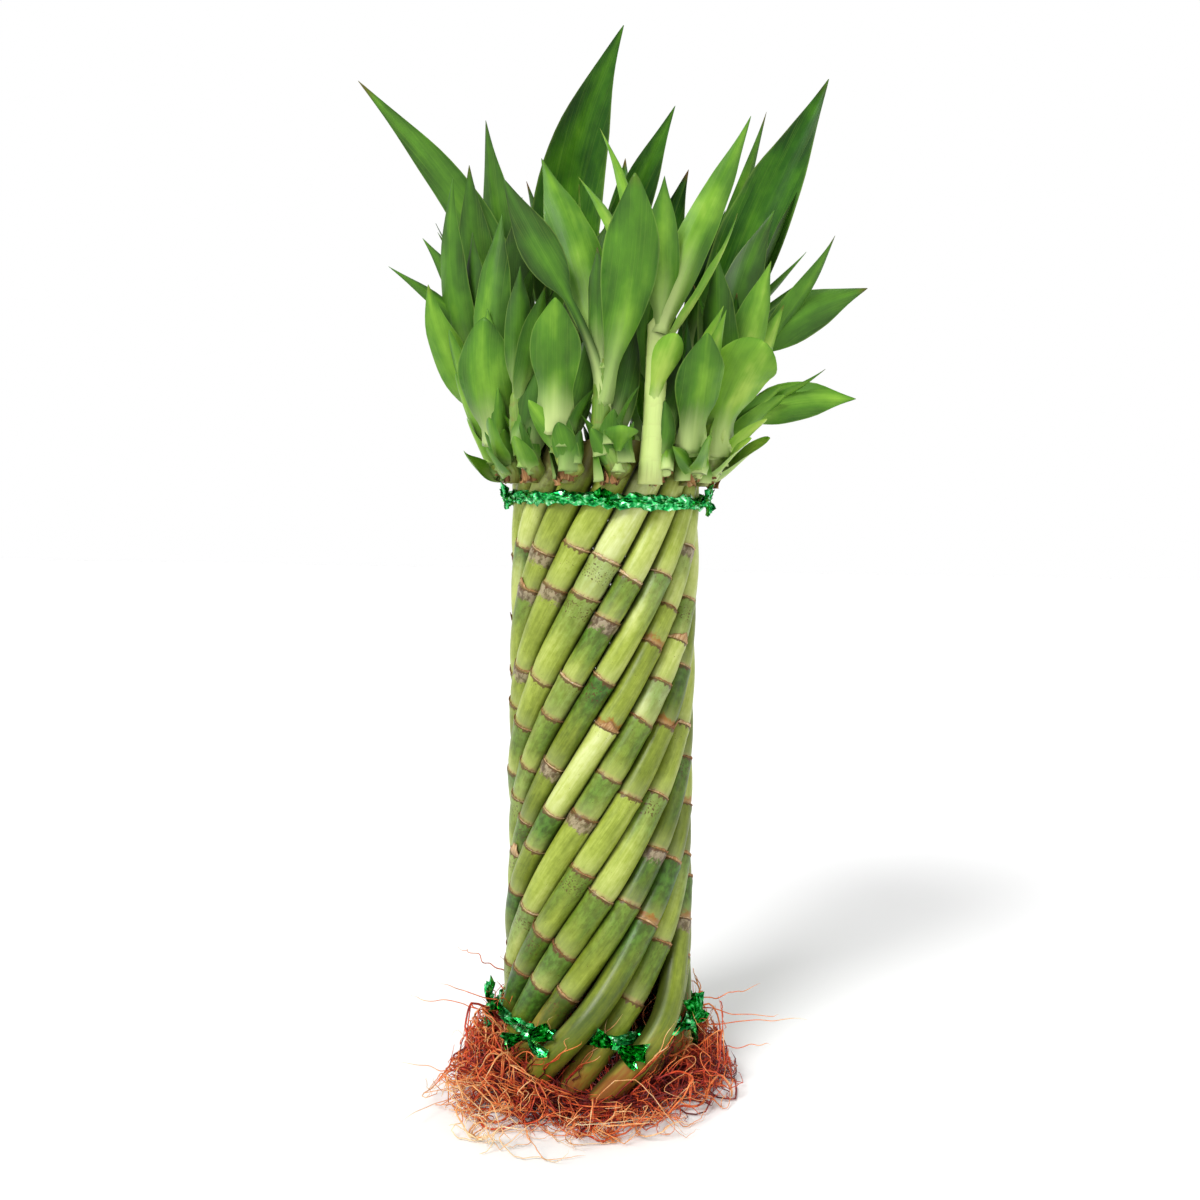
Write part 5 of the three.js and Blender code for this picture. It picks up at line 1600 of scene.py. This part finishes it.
def foil_sheet(surface, mid, normal, closed=False):
    """A thin sheet of foil round its middle."""
    lift = normal[:, None] * FOIL_THICK * 0.5
    rings = np.concatenate([mid + lift, (mid - lift)[:, ::-1]], axis=1)
    surface.skin(rings, {"spot": rings}, closed=closed)


def ribbon(surface, centre, across, normal, width, seed):
    """A thin crinkled strip along a closed path of centres."""
    rng = np.random.default_rng(seed)
    size = (len(centre), len(RIBBON_SHARES))
    crinkle = rng.normal(0, 0.42, size)
    skew = rng.normal(0, 0.3, size)
    mid = centre[:, None] + across[:, None] * (width[:, None] * 0.5 * RIBBON_SHARES + skew)[..., None]
    foil_sheet(surface, mid + normal[:, None] * crinkle[..., None], normal, True)


def twisted_tie(surface, path, seed, strands, spread, width, turns, count):
    """Ribbons twisted round a closed path that gives points and outward directions."""
    s = np.arange(count) / count
    round_it = 2 * math.pi * s
    point, out = path(s)
    for j in range(strands):
        phase = 2 * math.pi * (turns * s + j / strands + 0.06 * ripple(round_it, seed + j))
        away = out * np.cos(phase)[:, None] + UP * np.sin(phase)[:, None]
        sway = spread * (0.6 + 0.4 * ripple(round_it, seed + 20 + j, (5, 9, 14)))
        centre = point + away * sway[:, None] * TWIST_FLAT
        along = unit(np.roll(centre, -1, axis=0) - np.roll(centre, 1, axis=0))
        normal = unit(out + 0.9 * away)
        wide = width * (1 + 0.35 * ripple(round_it, seed + 40 + j, (11, 17, 23)))
        ribbon(surface, centre, unit(np.cross(along, normal)), normal, wide, seed + 60 + j)


def pleated_fan(surface, start, along, out, length, wide, seed):
    """A foil end that spreads from a knot in lengthwise pleats."""
    rng = np.random.default_rng(seed)
    s = np.linspace(0, 1, FAN_ROWS)
    columns = 2 * FAN_PLEATS + 1
    spine = start + along * length * s[:, None] + out * (FAN_BOW * length * np.sin(math.pi * s))[:, None]
    t = unit(np.gradient(spine, axis=0))
    side = unit(np.cross(out, t))
    side, normal = rolled(side, np.cross(t, side), (rng.random() - 0.5) * 1.2 * s)
    width = wide * (0.28 + 0.72 * smoothstep(s * 1.1))
    fold = np.where(np.arange(columns) % 2 == 0, 1.0, -1.0) * 0.13 * wide
    fold = fold * smoothstep(s * 1.6 + 0.15)[:, None] + rng.normal(0, 0.06, (FAN_ROWS, columns))
    torn = 1 + 0.1 * rng.normal(0, 1, columns) * (s[:, None] > 0.95)
    reach = 0.5 * width[:, None] * np.linspace(-1, 1, columns) * torn
    mid = spine[:, None] + side[:, None] * reach[..., None]
    mid = mid + normal[:, None] * fold[..., None] + along * (torn - 1)[..., None] * length * 0.6
    foil_sheet(surface, mid, normal)


def foil_knot(surface, centre, size, seed):
    """A crumpled lump of foil."""
    rng = np.random.default_rng(seed)
    angle = circle(9)
    polar = np.linspace(0.25, math.pi - 0.25, 6)[:, None]
    radius = 0.5 * size * (0.75 + 0.45 * rng.random((6, 9)))
    rings = stacked(np.sin(polar) * np.cos(angle), np.sin(polar) * np.sin(angle), np.cos(polar))
    rings = centre + rings * radius[..., None]
    surface.skin(rings, {"spot": rings})


def tuft_at(surface, degrees, distance, z, long, size, seed, rises, open_out):
    """A knot with foil ends that spread from it, each at its own rise in degrees."""
    out = outward(front_angle(degrees))
    along = np.cross(UP, out)
    centre = at_height(out * distance, z)
    foil_knot(surface, centre, size * 0.8, seed)
    for i, rise in enumerate(rises):
        tilt = math.radians(rise)
        way = unit(along * math.cos(tilt) + UP * math.sin(tilt) + out * open_out)
        pleated_fan(surface, centre, way, out, long * (1.2 - 0.12 * i), size * 1.1, seed * 7 + i)


def top_tie_path(s):
    """A circle close round all the canes that rises and falls a little."""
    out = outward(2 * math.pi * s)
    point = at_height(out * (BUNDLE_RADIUS + TIE_GAP + 1), TOP_TIE_Z + 0.6 * np.sin(4 * math.pi * s))
    return point, out


def low_tie_path(s):
    """Outside most canes and behind the ones that stand out."""
    angles = cane_angle(np.arange(CANES), LOW_TIE_Z)
    reach = np.full(CANES, LOW_OUTSIDE + TIE_GAP + TIE_THICK / 2)
    for k in WOVEN_BEHIND:
        reach[k] = cane_distance(k, LOW_TIE_Z) - cane_radius(k, LOW_TIE_Z) - TIE_GAP - TIE_THICK / 2
    angles = np.append(angles, angles[0] + 2 * math.pi)
    reach = np.append(reach, reach[0])
    mark = s * CANES
    k = np.minimum(mark.astype(int), CANES - 1)
    ease = (1 - np.cos(math.pi * (mark - k))) / 2
    out = outward(angles[k] + (angles[k + 1] - angles[k]) * (mark - k))
    distance = reach[k] + (reach[k + 1] - reach[k]) * ease
    return at_height(out * distance[:, None], LOW_TIE_Z), out


def tie_surfaces(material):
    """The upper and the lower tie, each with its tufts."""
    top = Surface("spot")
    twisted_tie(top, top_tie_path, 700, 3, 1.9, 4.4, 14, 100)
    for i, (degrees, long, size) in enumerate(TOP_TUFTS):
        distance = BUNDLE_RADIUS + TIE_GAP + 0.35 * size
        tuft_at(top, degrees * TUFT_TURN, distance, TOP_TIE_Z, long * 0.75, size, 80 + i, TOP_RISES[i], 0.35)
    low = Surface("spot")
    twisted_tie(low, low_tie_path, 800, 2, 0.9, 4.8, 9, 84)
    for i, (degrees, long, size) in enumerate(LOW_TUFTS):
        distance = LOW_OUTSIDE + TIE_GAP + 0.6 * size + LOW_LIFT[i]
        tuft_at(low, degrees, distance, LOW_TIE_Z + 0.5, long * 1.4, size * 1.45, 95 + i, LOW_RISES[i], 0.12)
    return top.piece("foil_twist_top", [material], False), low.piece("foil_twist_bottom", [material], False)


# The camera, the light and the floor, in metres
CAMERA_PLACE = (-0.0016, -0.55, 0.231)
CAMERA_PITCH = 4.19
CAMERA_ROLL = 1.0
CAMERA_LENS = 40.98
SENSOR = 36.0
FLOOR_HALF = 4.0
FLOOR_Z = -0.0005
# Brightness of the sky: full up to the first height (as a sine), then down to the last value.
SKY_FADE = (0.34, 0.75, 1.0, 0.3)
# Name, kind, place, aim, size (metres, or degrees for a sun) and power of each lamp.
LAMPS = (
    ("key", "SUN", (-0.75, -1.0, 1.35), (0, 0, 0.2), 24, 2.9),
    ("fill", "AREA", (1.1, -0.9, 0.9), (0, 0, 0.2), 0.9, 3),
    ("crown", "AREA", (0.1, 0.5, 1.6), (0, 0, 0.3), 0.7, 5),
)


def add_camera():
    """The camera at the viewing angle of the reference."""
    data = bpy.data.cameras.new("photo_view")
    data.sensor_width = SENSOR
    data.lens = CAMERA_LENS
    data.clip_start = 0.01
    camera = link("photo_view", data)
    tilt = Matrix.Rotation(math.radians(90 - CAMERA_PITCH), 4, "X")
    roll = Matrix.Rotation(math.radians(CAMERA_ROLL), 4, "Z")
    camera.matrix_world = Matrix.Translation(CAMERA_PLACE) @ tilt @ roll
    bpy.context.scene.camera = camera


def add_lamp(name, kind, place, aim, size, power):
    data = bpy.data.lights.new(name, kind)
    data.energy = power
    if kind == "SUN":
        data.angle = math.radians(size)
    else:
        data.shape = "DISK"
        data.size = size
    lamp = link(name, data)
    lamp.location = place
    lamp.rotation_euler = (Vector(aim) - Vector(place)).to_track_quat("-Z", "Y").to_euler()


def add_floor():
    """A wide pale floor, just below the lowest roots."""
    mesh = bpy.data.meshes.new("studio_floor")
    corners = [(x * FLOOR_HALF, y * FLOOR_HALF, FLOOR_Z) for x, y in ((-1, -1), (1, -1), (1, 1), (-1, 1))]
    mesh.from_pydata(corners, [], [(0, 1, 2, 3)])
    mesh.materials.append(Shader("studio_floor", Specular_IOR_Level=0.1).finish("F4F4F4", 0.9))
    floor = link("studio_floor", mesh)


def add_sky():
    """White light from all round, weaker towards the top."""
    world = bpy.data.worlds.new("studio")
    world.use_nodes = True
    nodes = world.node_tree.nodes
    links = world.node_tree.links
    place = nodes.new("ShaderNodeTexCoord")
    split = nodes.new("ShaderNodeSeparateXYZ")
    fade = nodes.new("ShaderNodeMapRange")
    fade.interpolation_type = "SMOOTHSTEP"
    for socket, value in zip(list(fade.inputs)[1:5], SKY_FADE):
        socket.default_value = value
    links.new(place.outputs["Generated"], split.inputs[0])
    links.new(split.outputs["Z"], fade.inputs[0])
    links.new(fade.outputs[0], nodes["Background"].inputs["Strength"])
    nodes["Background"].inputs["Color"].default_value = (1, 1, 1, 1)
    bpy.context.scene.world = world
    bpy.context.scene.view_settings.view_transform = "Standard"


def add_plant():
    """Every piece, with the solids that it replaces."""
    bark = cane_material()
    paper = paper_material()
    root = root_material()
    shoot = [leaf_material(), stem_material(), paper]
    blades = place_all()
    for k in range(CANES):
        number = f"{k + 1:02d}"
        hand_over(cane_surface(k, bark), "cane", f"cane_{number}")
        hand_over(paper_surface(k, paper), "cane")
        hand_over(root_surface(k, root), "root", f"roots_{number}")
        hand_over(shoot_surface(k, blades[k], shoot), "leaf", f"shoot_{number}")
    top, low = tie_surfaces(foil_material())
    hand_over(top, "foil", "tie_top")
    hand_over(low, "foil", "tie_bottom")


add_camera()
add_floor()
add_sky()
for lamp in LAMPS:
    add_lamp(*lamp)
add_plant()
